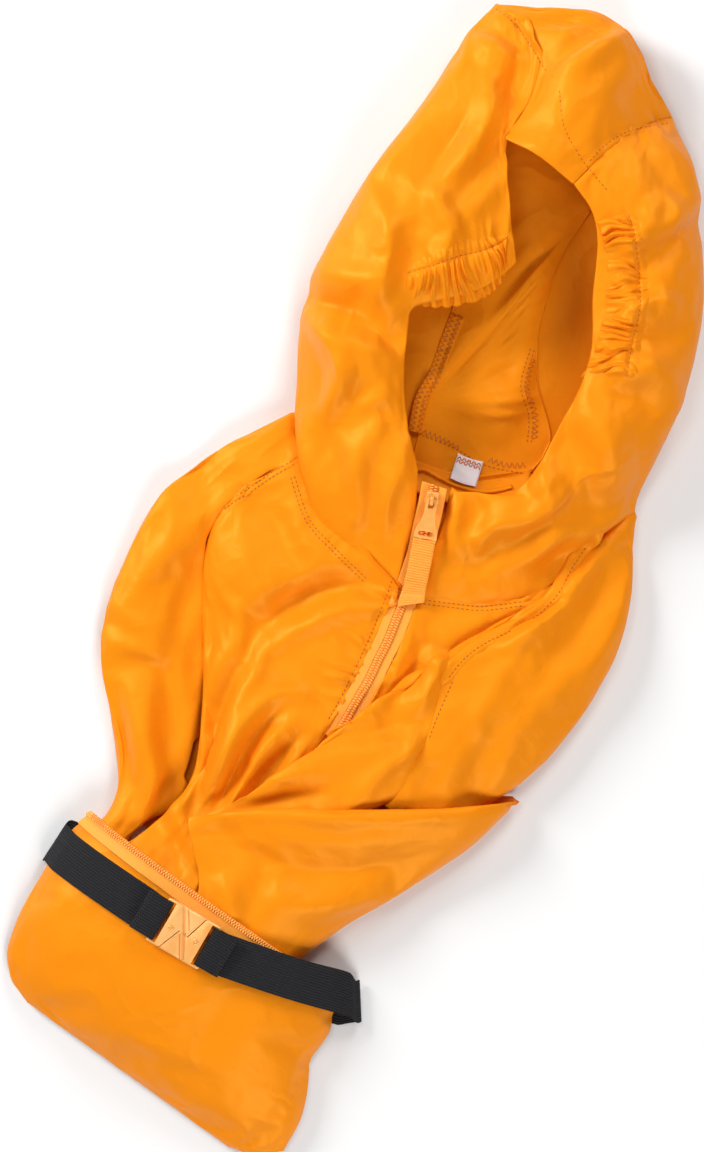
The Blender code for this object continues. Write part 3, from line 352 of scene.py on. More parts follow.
def crease_heights(points, rows, seed):
    """Shallow dents side by side with sharp ridges between them, as in crumpled thin cloth."""
    height = np.zeros(len(points))
    for number, row in enumerate(rows):
        turn = radians(row.turn)
        across = (points[:, 0] * cos(turn) + points[:, 1] * sin(turn)) / row.across
        along = (points[:, 1] * cos(turn) - points[:, 0] * sin(turn)) / row.along
        depth = points[:, 2] / row.across
        out = np.empty(len(points))
        for i, (a, b, c) in enumerate(zip(across, along, depth)):
            spot = Vector((a + 7.3 * seed, b + 3.1 * number, 0.5 * c + 5.7 * seed))
            bend = 0.35 * noise.noise(spot * 0.9)
            near = noise.voronoi(spot + Vector((bend, bend, 0)))[0][0]
            out[i] = (near * near + 0.02) ** 0.5 - 0.5
        height += row.height * out
    return height


# The share of a fold that is left at a seam, and where the cloth stands upright. Folds grow to
# their full height over this many mm above the level where the cloth lies on the table.
AT_SEAM = 0.12
WHERE_UPRIGHT = 0.3
GROWTH_ABOVE = 3.5
TABLE_GAP = 0.02


def lay_folds(piece, folds, puckers=(), creases=(), seed=1, seam_reach=6.0, low=0.4):
    """Raises a piece's folds along its normals, and upwards where its wrong side shows. They fade
    at its seams and at the table."""
    points, normals = points_of(piece)
    height = fold_heights(points, folds) + crease_heights(points, creases, seed)
    height *= AT_SEAM + (1 - AT_SEAM) * soft(edge_distance(piece, points) / seam_reach)
    height += pucker_heights(points, puckers)
    height *= soft((points[:, 2] - low) / GROWTH_ABOVE)
    height *= WHERE_UPRIGHT + (1 - WHERE_UPRIGHT) * soft(np.abs(normals[:, 2]) / 0.7)
    wrong_side_up = soft((-normals[:, 2] - 0.2) / 0.5)
    height *= 1 - 2 * wrong_side_up
    points += normals * height[:, None]
    points[:, 2] = np.maximum(points[:, 2], TABLE_GAP)
    put_points(piece, points)
    return piece


# How long the cloth settles, and how far, in mm, a point of it may end up from where it began.
SETTLING_STEPS = 24
FARTHEST = 5.0


def loosen(piece, growth, stiffness, held):
    """Lets a sewn-in piece, cut a little too large, settle into its own wrinkles. Its rim, the
    places named in held and what lies on the table stay put, and its large shape is kept."""
    start, normals = points_of(piece)
    edges, rim = edges_of(piece)
    still = rim | (start[:, 2] < 1.2)
    for curve, reach in held:
        still |= along_curve(start, curve)[0] < reach
    group = piece.vertex_groups.new(name="held")
    group.add(np.flatnonzero(still).tolist(), 1.0, "REPLACE")
    cloth = piece.modifiers.new("Loose", "CLOTH")
    for setting, value in dict(
        quality=5, mass=0.05, tension_stiffness=20, compression_stiffness=20, shear_stiffness=10,
        bending_stiffness=stiffness, tension_damping=10, compression_damping=10,
        bending_damping=2, air_damping=4, vertex_group_mass="held", shrink_min=-growth,
    ).items():
        setattr(cloth.settings, setting, value)
    cloth.settings.effector_weights.gravity = 0
    cloth.collision_settings.use_collision = False
    for span in (cloth.point_cache, bpy.context.scene):
        span.frame_start, span.frame_end = 1, SETTLING_STEPS
    for frame_number in range(1, SETTLING_STEPS + 1):
        bpy.context.scene.frame_set(frame_number)
    apply_all(piece)
    bpy.context.scene.frame_set(1)
    piece.vertex_groups.clear()
    moved = points_of(piece)[0] - start
    # Most of the broad drift is taken off again, so that only the small wrinkles stay.
    moved -= 0.85 * evened(moved, edges, ~still, 70)
    moved *= (0.25 + 0.75 * soft(np.abs(normals[:, 2]) / 0.7))[:, None]
    length = np.linalg.norm(moved, axis=1)
    moved *= np.minimum(1, FARTHEST / np.maximum(length, 1e-6))[:, None]
    points = start + moved
    points[:, 2] = np.maximum(points[:, 2], np.minimum(start[:, 2], 0.05))
    put_points(piece, points)
    return piece


def turn_edges(piece, rings=((0.35, 0.15), (0.6, 0.55), (0.62, 1.1)), under=()):
    """Carries a piece's rim on outwards and down, in mm, as a seam allowance turned in. Inside the
    boxes named in under, it goes further out, below the piece beside it."""
    mesh = bmesh.new()
    mesh.from_mesh(piece.data)
    mesh.normal_update()
    rim = [edge for edge in mesh.edges if edge.is_boundary]
    outwards, down = {}, {}
    for edge in rim:
        face = edge.link_faces[0]
        middle = (edge.verts[0].co + edge.verts[1].co) / 2
        side = (edge.verts[1].co - edge.verts[0].co).cross(face.normal).normalized()
        if side.dot(middle - face.calc_center_median()) < 0:
            side = -side
        for vert in edge.verts:
            outwards[vert] = outwards.get(vert, Vector()) + side
            down[vert] = down.get(vert, Vector()) - face.normal
    start = {vert: vert.co.copy() for vert in outwards}
    twin = {}
    for side, drop in rings:
        made = bmesh.ops.extrude_edge_only(mesh, edges=rim)["geom"]
        rim = [item for item in made if isinstance(item, bmesh.types.BMEdge) and item.is_boundary]
        new_verts = {vert for edge in rim for vert in edge.verts}
        above = {}
        for vert in new_verts:
            for edge in vert.link_edges:
                other = edge.other_vert(vert)
                if other not in new_verts:
                    above[vert] = twin.get(other, other)
        twin = above
        for vert, first in twin.items():
            x, y = start[first].x / MM, start[first].y / MM
            tucked = any(a <= x <= c and b <= y <= d for a, b, c, d in under)
            way_out, way_down = (side * 7 + 0.3, drop * 1.6 + 0.8) if tucked else (side, drop)
            vert.co = start[first] + outwards[first].normalized() * way_out * MM
            vert.co += down[first].normalized() * way_down * MM
            vert.co.z = max(vert.co.z, 0.00001)
    mesh.to_mesh(piece.data)
    mesh.free()
    piece.data.shade_smooth()
    return piece


def give_wall(piece, wall=CLOTH):
    """Gives cloth its thickness, inwards from the side that shows."""
    wall_of = piece.modifiers.new("Wall", "SOLIDIFY")
    wall_of.thickness = wall * MM
    wall_of.offset = -1.0
    apply_all(piece)
    piece.data.shade_smooth()
    return piece


def add(material, kind, inputs, out=None, **settings):
    """Adds a node to a material, and returns its output of that name, or its first in use."""
    node = material.node_tree.nodes.new("ShaderNode" + kind)
    for name, value in settings.items():
        setattr(node, name, value)
    fill(material, node, inputs)
    return node.outputs[out] if out else next(made for made in node.outputs if made.enabled)


def texture(material, kind, inputs, **settings):
    """A texture laid out by where a point lies on the piece, as a number from 0 to 1."""
    where = add(material, "TexCoord", {}, "Object")
    return add(material, "Tex" + kind, {"Vector": where, **inputs}, "Fac", **settings)


def math(material, operation, *inputs):
    return add(material, "Math", dict(enumerate(inputs)), operation=operation)


def relief(material, height, strength, distance, below=None, **settings):
    """A normal with a small relief, on top of another relief if there is one below."""
    inputs = {"Height": height, "Strength": strength, "Distance": distance}
    return add(material, "Bump", inputs | ({"Normal": below} if below else {}), **settings)


def colour_by(material, mix, dark, pale):
    """Colours a material from dark to pale by a number that changes over it."""
    inputs = {"Factor": mix, "A": (*dark, 1), "B": (*pale, 1)}
    fill_shader(material, {"Base Color": add(material, "Mix", inputs, "Result", data_type="RGBA")})


ORANGE = (1.0, 0.295, 0.006)
SHADED_ORANGE = tuple(c * 0.92 for c in ORANGE)
NYLON_SHINE = 0.43
LIGHT_THROUGH = 0.10


def nylon(name):
    """Thin plain-woven nylon: a satin shine, fine creases, and some light through it."""
    material = new_material(name)
    patches = texture(material, "Noise", {"Scale": 22.0, "Detail": 4.0})
    colour_by(material, patches, SHADED_ORANGE, ORANGE)
    gloss = {"Value": patches, "To Min": NYLON_SHINE - 0.05, "To Max": NYLON_SHINE + 0.07}
    creased = None
    for scale, strength, distance in ((34.0, 0.5, 0.004), (95.0, 0.35, 0.0012)):
        crumple = texture(material, "Noise", {"Scale": scale, "Detail": 1.0, "Distortion": 0.6})
        ridge = math(material, "ABSOLUTE", math(material, "SUBTRACT", crumple, 0.5))
        creased = relief(material, ridge, strength, distance, creased, invert=True)
    woven = creased
    for bands, scale in (("X", 700.0), ("Y", 620.0)):
        threads = texture(
            material, "Wave", {"Scale": scale, "Distortion": 1.5}, bands_direction=bands,
        )
        woven = relief(material, threads, 0.05, 0.00015, woven)
    fill_shader(material, {
        "Roughness": add(material, "MapRange", gloss), "Normal": woven,
        "Specular IOR Level": 0.7, "Specular Tint": (1.0, 0.5, 0.08, 1),
    })
    nodes = material.node_tree.nodes
    glow = add(material, "BsdfTranslucent", {"Color": (*ORANGE, 1), "Normal": creased})
    mixed = {"Fac": LIGHT_THROUGH, 1: nodes["Principled BSDF"].outputs["BSDF"], 2: glow}
    fill(material, nodes["Material Output"], {"Surface": add(material, "MixShader", mixed)})
    return material


orange_nylon = nylon("orange_nylon")


def dress(piece, material, body="garment"):
    """Gives a finished piece its one material and its body."""
    piece.data.materials.clear()
    piece.data.materials.append(material)
    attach(piece, body)
    return piece


def sew_in(piece, material, node, body="garment"):
    """Dresses a piece that stands for a solid."""
    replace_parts(dress(piece, material, body), node)
    return piece


# A row of stitches draws the cloth down into a narrow groove.
SEAM_DEPTH = -0.5
SEAM_WIDTH = 1.1


def make_panel(
    node, folds, puckers, creases, seed,
    seams=(), held=(), under=(), growth=0.02, stiffness=1.5, low=0.4,
):
    """A panel of the jacket: its solid's outer layer, folded, loosened, puckered and turned in."""
    piece = finer(upper_layer(node, node + "_cloth"), 2, 12)
    lay_folds(piece, folds, (), creases[:1], seed, low=low)
    loosen(piece, growth, stiffness, held)
    finer(piece, 1, 1)
    grooves = [(*curve, SEAM_DEPTH, SEAM_WIDTH) for curve in seams]
    lay_folds(piece, grooves, puckers, creases[1:], seed, 1.0, low)
    return sew_in(give_wall(turn_edges(piece, under=under)), orange_nylon, node)


BRIM = ((14, 298), (22, 280), (36, 266), (57, 252))
GUSSET_LEFT = ((-38, 341), (-22, 333), (-8, 322), (0, 314), (8, 308))
GUSSET_RIGHT = ((80, 305), (60, 292), (48, 278), (42, 266))
CROWN_LEFT = ((-38, 341), (-22, 333), (-8, 322), (8, 308))
HOOD_LEFT_FOLDS = (
    ((-93, 150), (-70, 235), (-52, 292), 1.5, 9), ((-62, 250), (-48, 282), (-34, 312), -1.6, 8),
    ((-50, 222), (-42, 246), (-33, 272), -3.8, 9, 0.2),
    ((-30, 236), (-24, 258), (-20, 286), 2.8, 6), ((-22, 220), (-15, 244), (-10, 272), -2.4, 7),
    ((-66, 206), (-55, 188), (-49, 160), 2.2, 6, -0.3),
    ((-44, 208), (-40, 182), (-41, 158), -2.6, 6),
    ((-40, 222), (-26, 206), (-22, 196), (-25, 176), 2.8, 4.5),
    ((-18, 316), (-13, 298), (-4, 284), -4.0, 7), ((-40, 326), (-24, 323), (-8, 318), -1.8, 4),
    ((-44, 316), (-26, 312), (-10, 304), 1.8, 6),
    ((-90, 139), (-66, 141), (-44, 132), (-28, 127), -5.5, 8.5, -0.2),
    ((-88, 156), (-66, 158), (-42, 161), 2.4, 6), ((-84, 128), (-52, 122), (-26, 120), 3.2, 5),
    ((-90, 134), (-70, 117), (-58, 103), (-58, 88), (-62, 72), 3.0, 5),
    ((-78, 106), (-70, 92), (-68, 78), -2.0, 5), ((-50, 104), (-45, 84), (-40, 62), -1.8, 8),
    ((-45, 82), (-36, 90), (-28, 99), 1.2, 2.5), ((-78, 78), (-60, 51), (-38, 24), 2.2, 6),
    ((-62, 74), (-46, 48), (-28, 20), -2.2, 7), ((-22, 82), (-22, 55), (-15, 25), (-7, 0), -2.4, 5),
    ((-12, 84), (-8, 62), (-10, 42), (-7, 10), 2.2, 4), ((-34, 66), (-31, 42), (-22, 14), 1.4, 6),
)
HOOD_LEFT_PUCKERS = (
    Puckers(((-36, 176), (-18, 196), (-4, 202), (8, 211), (22, 219)), 6.5, 12, 1.1),
    Puckers(CROWN_LEFT, 6.0, 6, 0.7),
    Puckers(((-14, 98), (-4, 70), (6, 44)), 7.0, 7, 0.6),
)
ELASTIC_LEFT = ((-42, 152), (-34, 172), (-17, 190), (4, 198), (18, 206))
hood_side_left = make_panel(
    "hood_side_left", HOOD_LEFT_FOLDS, HOOD_LEFT_PUCKERS,
    (Creases(30, 80, -18, 2.6), Creases(14, 36, -30, 1.2)), 1,
    seams=(GUSSET_LEFT,), held=((ELASTIC_LEFT, 9),), under=((-22, 296, 22, 350),),
)


# ------------ hood, right side
# The matching panel on the other side. Its front edge crosses under the chin to the zip, and its
# elastic draws it into lobes beside the opening.

HOOD_RIGHT_FOLDS = (
    ((122, 262), (104, 232), (86, 212), -3.0, 6), ((114, 268), (96, 240), (80, 224), 2.2, 6),
    ((83, 222), (86, 245), (92, 257), (99, 250), 2.2, 4),
    ((92, 188), (105, 200), (120, 197), 2.8, 5), ((86, 212), (97, 204), (108, 206), -3.0, 5),
    ((98, 174), (112, 178), (130, 181), -3.0, 6),
    ((98, 148), (112, 159), (124, 157), (132, 148), 2.4, 5),
    ((96, 138), (112, 140), (128, 134), -2.2, 6),
    ((134, 240), (138, 200), (138, 150), (132, 105), 1.4, 8),
    ((88, 130), (104, 112), (118, 86), 2.2, 8), ((76, 112), (88, 94), (98, 66), -2.4, 8),
    ((66, 92), (80, 72), (88, 48), 2.2, 6),
    ((35, 5), (52, 10), (64, 20), (83, 33), (102, 50), (130, 75), 2.6, 5),
    ((46, 18), (62, 28), (80, 44), -2.6, 6), ((40, 26), (52, 40), (62, 58), 2.2, 5),
    ((85, 28), (102, 34), (122, 44), -2.2, 6), ((26, 66), (34, 40), (38, 10), 1.8, 5),
    ((34, 70), (44, 46), (50, 20), -1.8, 5), ((84, 292), (100, 280), (114, 262), 1.8, 8),
    ((36, 25), (43, 21), (49, 22), (51, 30), (47, 36), (55, 44), (70, 54), 2.4, 3),
    ((34, 19), (44, 12), (57, 20), (65, 31), -2.2, 3),
    ((43, -2), (56, 9), (72, 21), (84, 33), -2.4, 3.5),
    ((60, 36), (73, 51), (82, 64), (88, 72), 2.0, 3.5), ((66, 36), (80, 50), (92, 64), -2.0, 3.5),
    ((25, 52), (30, 44), (31, 34), (31, 27), 1.6, 3),
    ((105, 54), (97, 42), (92, 30), (89, 22), -2.6, 5),
    ((126, 76), (114, 66), (99, 56), (88, 46), (84, 36), 2.2, 3.5),
)
HOOD_RIGHT_PUCKERS = (
    Puckers(((86, 152), (91, 180), (89, 205), (82, 238)), 6.5, 12, 1.1),
    Puckers(GUSSET_RIGHT, 6.0, 8, 1.0),
    Puckers(((26, 44), (22, 62), (24, 80)), 7.0, 6, 0.5),
)
ELASTIC_RIGHT = ((76, 148), (80, 175), (78, 205), (68, 240))
hood_side_right = make_panel(
    "hood_side_right", HOOD_RIGHT_FOLDS, HOOD_RIGHT_PUCKERS,
    (Creases(30, 80, 10, 2.6), Creases(14, 36, 25, 1.2)), 2, seams=(GUSSET_RIGHT,),
    held=((ELASTIC_RIGHT, 9),), under=((16, -12, 36, 56), (40, 262, 74, 300)),
)


# ------------ hood, centre panel
# The strip between the two sides: it starts at the brim, goes over the crown and comes back down
# inside as the hood's back, which shows through the opening. Its brim is hemmed and stitched.

HOOD_CENTRE_FOLDS = (
    ((-18, 341), (6, 345), (34, 346), -2.4, 5), ((10, 326), (18, 336), (30, 345), -2.2, 4),
    ((10, 306), (27, 328), (40, 346), 3.0, 5), ((45, 270), (60, 275), (70, 272), (80, 264), 2.2, 4),
    ((52, 300), (60, 316), (66, 330), -1.8, 7), ((62, 268), (63, 250), (64, 238), -2.4, 5),
    ((22, 248), (25, 225), (30, 190), (33, 160), 4.0, 4),
    ((12, 230), (16, 200), (20, 165), -3.0, 5),
    ((44, 196), (45, 160), (42, 128), (36, 100), 4.6, 6),
    ((56, 200), (57, 160), (54, 122), -3.4, 6), ((-6, 146), (20, 124), (33, 107), (46, 92), 3.8, 5),
    ((4, 128), (16, 108), (28, 90), -2.8, 5), ((6, 152), (14, 142), (28, 140), 2.6, 4),
    ((26, 128), (32, 116), (34, 100), 3.0, 3), ((30, 156), (36, 140), (33, 124), -2.4, 4),
    ((12, 258), (22, 222), (34, 186), (46, 150), 3.2, 8),
    ((34, 250), (42, 222), (52, 190), -2.6, 8), ((8, 134), (24, 118), (41, 103), 3.0, 6),
    ((-8, 121), (18, 108), (45, 95), -3.4, 6), ((48, 147), (51, 122), (50, 99), 2.6, 5),
)
HOOD_CENTRE_PUCKERS = (
    Puckers(GUSSET_RIGHT, 5.5, 8, 0.9),
    Puckers(CROWN_LEFT, 6.0, 6, 0.6),
    Puckers(BRIM, 5.0, 5, 0.5),
)
hood_centre = make_panel(
    "hood_centre", HOOD_CENTRE_FOLDS, HOOD_CENTRE_PUCKERS,
    (Creases(26, 70, -5, 3.0), Creases(14, 36, -15, 1.2)), 3,
    seams=(BRIM, GUSSET_LEFT, GUSSET_RIGHT), low=-2.5,
)


# ------------ elastic casings of the hood
# A deep hem on each side of the opening, with an elastic drawn tight in it: the cloth over it
# stands in sharp ruffles across the casing, and they fan out over the panel beyond its stitches.

def tree_of(piece):
    faces = [face.vertices for face in piece.data.polygons]
    return BVHTree.FromPolygons([vert.co for vert in piece.data.vertices], faces)


def top_at(trees, x, y):
    """Height in mm of the highest surface above a plan position, or None where there is none."""
    spots = [tree.ray_cast(Vector((x, y, 90)) * MM, Vector((0, 0, -1)))[0] for tree in trees]
    heights = [spot.z / MM for spot in spots if spot]
    return max(heights) if heights else None


def ease(heights, share):
    """Evens heights out in place along their first axis, with its ends held."""
    heights[1:-1] += share * (heights[:-2] + heights[2:] - 2 * heights[1:-1])


def spaced(curve, count):
    """Points evenly spaced along a smooth curve."""
    spots = smooth_curve(curve, 20)
    gone = lengths_along(spots)
    at = np.linspace(0, gone[-1], count)
    return np.stack([np.interp(at, gone, spots[:, k]) for k in range(spots.shape[1])], axis=1)


def grid_piece(name, grid):
    """A piece of cloth on a grid of points in mm, its outer side up."""
    rows, columns = grid.shape[:2]
    faces = [
        (i * columns + j, i * columns + j + 1, (i + 1) * columns + j + 1, (i + 1) * columns + j)
        for i in range(rows - 1) for j in range(columns - 1)
    ]
    piece = new_piece(name, points=grid.reshape(-1, 3), faces=faces)
    if piece.data.polygons[len(faces) // 2].normal.z < 0:
        piece.data.flip_normals()
    return piece


# A casing runs between the line where its ruffles fade out on the panel and its free rim. Its
# stitches lie at a share of its depth, and its rim hangs this far below them.
Casing = namedtuple("Casing", "node panel fade rim stitched drop pitch height seed")
CASINGS = (
    Casing(
        "hood_elastic_left", hood_side_left,
        ((-41, 176), (-30, 187), (-18, 199), (-5, 205), (4, 209), (11, 213)),
        ((-38, 154), (-22, 156), (-7, 161), (7, 170), (14, 180), (16, 191), (14, 201)),
        0.3, 4.0, 6.2, 4.2, 5,
    ),
    Casing(
        "hood_elastic_right", hood_side_right,
        ((112, 150), (107, 170), (105, 190), (99, 210), (90, 228), (80, 246)),
        ((78, 143), (81, 160), (80, 180), (76, 200), (68, 220), (57, 236)),
        0.28, 2.0, 9.0, 5.2, 6,
    ),
)
CASING_COLUMNS = 34
CASING_STEP = 0.42
# The rim turned under, in mm: out from the casing, and down.
CASING_RIM = ((0.7, 0.7), (0.8, 1.9), (-0.6, 3.0), (-2.6, 3.6))


def ruffled_casing(casing):
    """A casing's cloth, laid over its panel, raised into ruffles and turned under at its rim."""
    count = int(lengths_along(spaced(casing.rim, 60))[-1] / CASING_STEP)
    sewn, rim = spaced(casing.fade, count), spaced(casing.rim, count)
    tree = [tree_of(casing.panel)]
    across = np.linspace(0, 1, CASING_COLUMNS)
    grid = np.empty((count, CASING_COLUMNS, 3))
    for i in range(count):
        for j, t in enumerate(across):
            x, y = sewn[i] * (1 - t) + rim[i] * t
            level = top_at(tree, x, y)
            # Past the panel's edge the casing goes on level, and sags a little.
            before = grid[i, j - 1, 2] if j else 45.0
            if level is None or level < before - 4:
                level = before - 0.25
            grid[i, j] = (x, y, level)
    for _ in range(10):
        z = grid[:, :, 2]
        around = z[:-2, 1:-1] + z[2:, 1:-1] + z[1:-1, :-2] + z[1:-1, 2:]
        z[1:-1, 1:-1] += 0.2 * (around - 4 * z[1:-1, 1:-1])
    ends = soft(np.minimum(np.arange(count), np.arange(count)[::-1]) * CASING_STEP / 5.0)
    out = rim - sewn
    out /= np.linalg.norm(out, axis=1)[:, None]
    # Large ruffles and finer ones between them grow from where they fade out to the rim, which
    # they push in and out. The stitches pinch them flat.
    for i in range(count):
        s = i * CASING_STEP
        for j, t in enumerate(across):
            drift = noise.noise((s * 0.07, t * 1.3, casing.seed))
            size = 0.85 + 0.8 * noise.noise((s * 0.17, t * 0.8, casing.seed + 9.0))
            wave = abs(sin(pi * (s / casing.pitch + 1.8 * drift))) ** 0.75
            fine = abs(sin(pi * (s / casing.pitch * 2.3 + 1.9 * drift + 0.4))) ** 0.8
            pinch = np.exp(-((t - casing.stitched) / 0.035) ** 2)
            reach = 0.5 * soft(t / casing.stitched) + 0.5 * soft((t - casing.stitched) / 0.16)
            reach *= 1 - 0.55 * pinch - 0.25 * soft((t - 0.86) / 0.14)
            rise = casing.height * size * (0.72 * wave + 0.28 * fine) * reach
            rise += 0.9 * soft(t / casing.stitched)
            grid[i, j, 2] += rise * ends[i] - 0.5 - 0.42 * pinch
            grid[i, j, 2] -= casing.drop * soft((t - 0.45) / 0.55)
            grid[i, j, :2] += out[i] * 1.8 * (wave - 0.6) * size * ends[i] * soft((t - 0.5) / 0.5)
        grid[i, 0, 2] -= 1.0
    turned = [grid]
    for side, drop in CASING_RIM:
        row = grid[:, -1:].copy()
        row[:, 0, :2] += out * side
        row[:, 0, 2] -= drop
        turned.append(row)
    return give_wall(grid_piece(casing.node + "_ruffles", np.concatenate(turned, axis=1)))


for casing, cut in zip(CASINGS, ((0.035, 0.125), (0.034, 0.150))):
    ruffles = sew_in(ruffled_casing(casing), orange_nylon, casing.node)


# ------------ neck facing and size label
# A narrow strip covers the neck seam inside, with its free edge rolled. The blank woven label
# hangs from it, caught by a zigzag along its top.

STRIP_STEP = 0.8
# Over how many steps the ends of a bridging strip narrow, and over how many they sink, in mm.
END_NARROWING = 14.0
END_SINKING = 8.0
END_SINK = 2.0


def laid_strip(name, curve, profile, pieces, even=0):
    """A strip laid along a curve on pieces: its profile is distances across, and heights there. It
    bridges the dips under it that are shorter than `even` steps, and its ends then taper away."""
    count = max(int(lengths_along(smooth_curve(curve))[-1] / STRIP_STEP), 4)
    spots = spaced(curve, count)
    run = np.gradient(spots, axis=0)
    side = np.stack([-run[:, 1], run[:, 0]], axis=1) / np.linalg.norm(run, axis=1)[:, None]
    tree = [tree_of(piece) for piece in pieces]
    middle = np.array([top_at(tree, *spot) or 3.0 for spot in spots])
    for _ in range(4):
        ease(middle, 0.25)
    grid = np.empty((count, len(profile), 3))
    for i in range(count):
        taper = soft((min(i, count - 1 - i) + 1) / END_NARROWING) if even else 1.0
        for j, (across, height) in enumerate(profile):
            x, y = spots[i] + side[i] * across * taper
            level = top_at(tree, x, y)
            off = level is None or abs(level - middle[i]) > 3
            grid[i, j] = (x, y, middle[i] if off else level)
    if even:
        wide = np.pad(grid[:, :, 2], ((even, even), (0, 0)), "edge")
        grid[:, :, 2] = np.max([wide[k:k + count] for k in range(2 * even + 1)], axis=0)
        for _ in range(3 * even):
            ease(grid[:, :, 2], 0.25)
            ease(grid[:, :, 2].T, 0.15)
    for i in range(count):
        for j, (across, height) in enumerate(profile):
            if even:
                height -= END_SINK * (1 - soft(min(i, count - 1 - i) / END_SINKING))
            rough = noise.noise((grid[i, j, 0] * 0.3, grid[i, j, 1] * 0.3, across))
            grid[i, j, 2] += height + 0.18 * rough
    return dress(give_wall(finer(grid_piece(name, grid), 1, 1), 0.3), orange_nylon)


neck_facing = finer(upper_layer("neck_facing", "neck_facing_cloth", 1.0), 3, 8)
lay_folds(
    neck_facing, (((-4, 71), (14, 72), (30, 70), (46, 72), (60, 77), -1.6, 3.4),),
    (Puckers(((0, 72), (24, 69), (44, 66), (62, 70)), 5.0, 4, 0.35),),
    (Creases(12, 12, 0, 0.3),), 4, seam_reach=2.0,
)
give_wall(turn_edges(neck_facing))
sew_in(neck_facing, orange_nylon, "neck_facing")
ROLL = ((-1.9, -0.8), (-1.6, 0.9), (-0.8, 1.9), (0.2, 2.1), (1.1, 1.4), (1.6, 0.2), (1.8, -0.8))
ROLLED_EDGE = ((-3, 60), (5.7, 64.2), (16, 62.6), (26, 61.2), (40, 61.9), (50, 65), (59, 70.5))
neck_roll = laid_strip("neck_roll", ROLLED_EDGE, ROLL, (neck_facing, hood_centre))

size_label = finer(upper_layer("size_label", "size_label_cloth", 0.5), 3, 6)
lay_folds(size_label, (((22, 58), (33, 57), (43, 56), 0.5, 4),), seed=5, seam_reach=2.0)
give_wall(size_label, 0.3)
# It is narrower than its solid, leans, and is moved by its top left, from one of the two places
# below to the other, in mm.
LABEL_SHARES = (0.83, 0.95, 1.0, 1.0)
LABEL_LEAN = Matrix(((1, 0, 0, 0), (-0.29, 1, 0, 0), (0, 0, 1, 0), (0, 0, 0, 1)))
LABEL_FROM, LABEL_TO = (23.9, 66.5, 0.0), (23.0, 79.6, -2.1)
size_label.data.transform(
    Matrix.Translation([value * MM for value in LABEL_TO])
    @ LABEL_LEAN @ Matrix.Diagonal(LABEL_SHARES)
    @ Matrix.Translation([-value * MM for value in LABEL_FROM])
)
label_satin = new_material("white_label")
threads = texture(label_satin, "Wave", {"Scale": 520.0})
colour_by(label_satin, threads, (0.74, 0.74, 0.76), (0.88, 0.88, 0.88))
fill_shader(label_satin, {"Roughness": 0.5, "Normal": relief(label_satin, threads, 0.2, 0.0002)})
sew_in(size_label, label_satin, "size_label")


# ------------ back
# One flat panel under everything, shoulder to waist, lying on the table.

back = finer(upper_layer("back", "back_cloth"), 3, 4)
lay_folds(back, (), (), (Creases(24, 60, 10, 0.3),), 6, low=-3.0)
give_wall(back)
sew_in(back, orange_nylon, "back")


# ------------ left front
# The left half of the front, from the zip to the raglan seam. At the bottom it is squeezed into
# the pouch's mouth, and long folds run up from there over the whole panel.

FRONT_LEFT_FOLDS = (
    ((0, -10), (-24, -21), (-45, -38), (-62, -60), -5.2, 7.5),
    ((-60, -56), (-68, -92), (-68, -125), (-62, -178), -4.2, 7),
    ((4, -20), (-16, -27), (-32, -43), (-46, -58), 3.0, 6),
    ((-66, -58), (-77, -96), (-80, -128), 2.6, 6),
    ((-46, -60), (-54, -80), (-58, -110), (-56, -150), 2.6, 5),
    ((-44, -64), (-48, -74), (-56, -74), -2.0, 4),
    ((-60, -178), (-54, -134), (-45, -100), (-32, -87), (-20, -86), 3.4, 4),
    ((-51, -166), (-43, -124), (-33, -99), -3.6, 4),
    ((-44, -168), (-36, -128), (-24, -104), 2.4, 4),
    ((-36, -166), (-26, -132), (-16, -108), -3.0, 4),
    ((-26, -160), (-16, -134), (-10, -116), 2.2, 4),
    ((-88, -60), (-84, -100), (-80, -150), -2.2, 6), ((-92, -4), (-74, -26), (-58, -42), 2.0, 12),
    ((-84, 22), (-66, 6), (-52, -4), -1.6, 9), ((-78, 18), (-62, 16), (-54, 4), (-42, -4), 1.3, 5),
    ((-94, 46), (-88, 42), (-80, 36), 1.0, 3), ((-82, 32), (-90, 21), (-98, 11), 1.4, 5),
    ((-60, 10), (-36, -2), (-16, -8), 1.2, 7), ((-72, -184), (-66, -150), (-62, -110), 2.2, 5),
    ((-54, -206), (-52, -186), (-50, -168), 2.4, 4),
    ((-44, -206), (-44, -190), (-42, -174), -2.4, 4),
    ((-34, -206), (-34, -190), (-32, -170), 2.0, 4),
    ((-78, -168), (-66, -183), (-58, -196), 2.4, 3.5),
    ((-84, -185), (-72, -190), (-58, -203), (-45, -206), -2.4, 3.5),
    ((-80, -176), (-66, -190), (-52, -202), -2.0, 2.5),
)
RAGLAN_LEFT = ((-72, 45), (-82, 34), (-92, 21), (-103, 8), (-110, -5), (-108, -17))
NECK_LEFT = ((-66, 36), (-50, 15), (-30, 3), (-8, -8))
ZIP_SEAM_LEFT = ((10, 18), (8, 0), (7, -20), (5, -45), (0, -80), (-3, -94))
FRONT_LEFT_PUCKERS = (
    Puckers(((9, -8), (7, -30), (3, -60), (-3, -92)), 8.0, 15, 2.0),
    Puckers(((-74, 44), (-92, 21), (-104, 6), (-110, -6)), 9.0, 5, 0.3),
    Puckers(((-64, 38), (-50, 18), (-30, 6), (-8, -4)), 8.0, 5, 0.5),
)
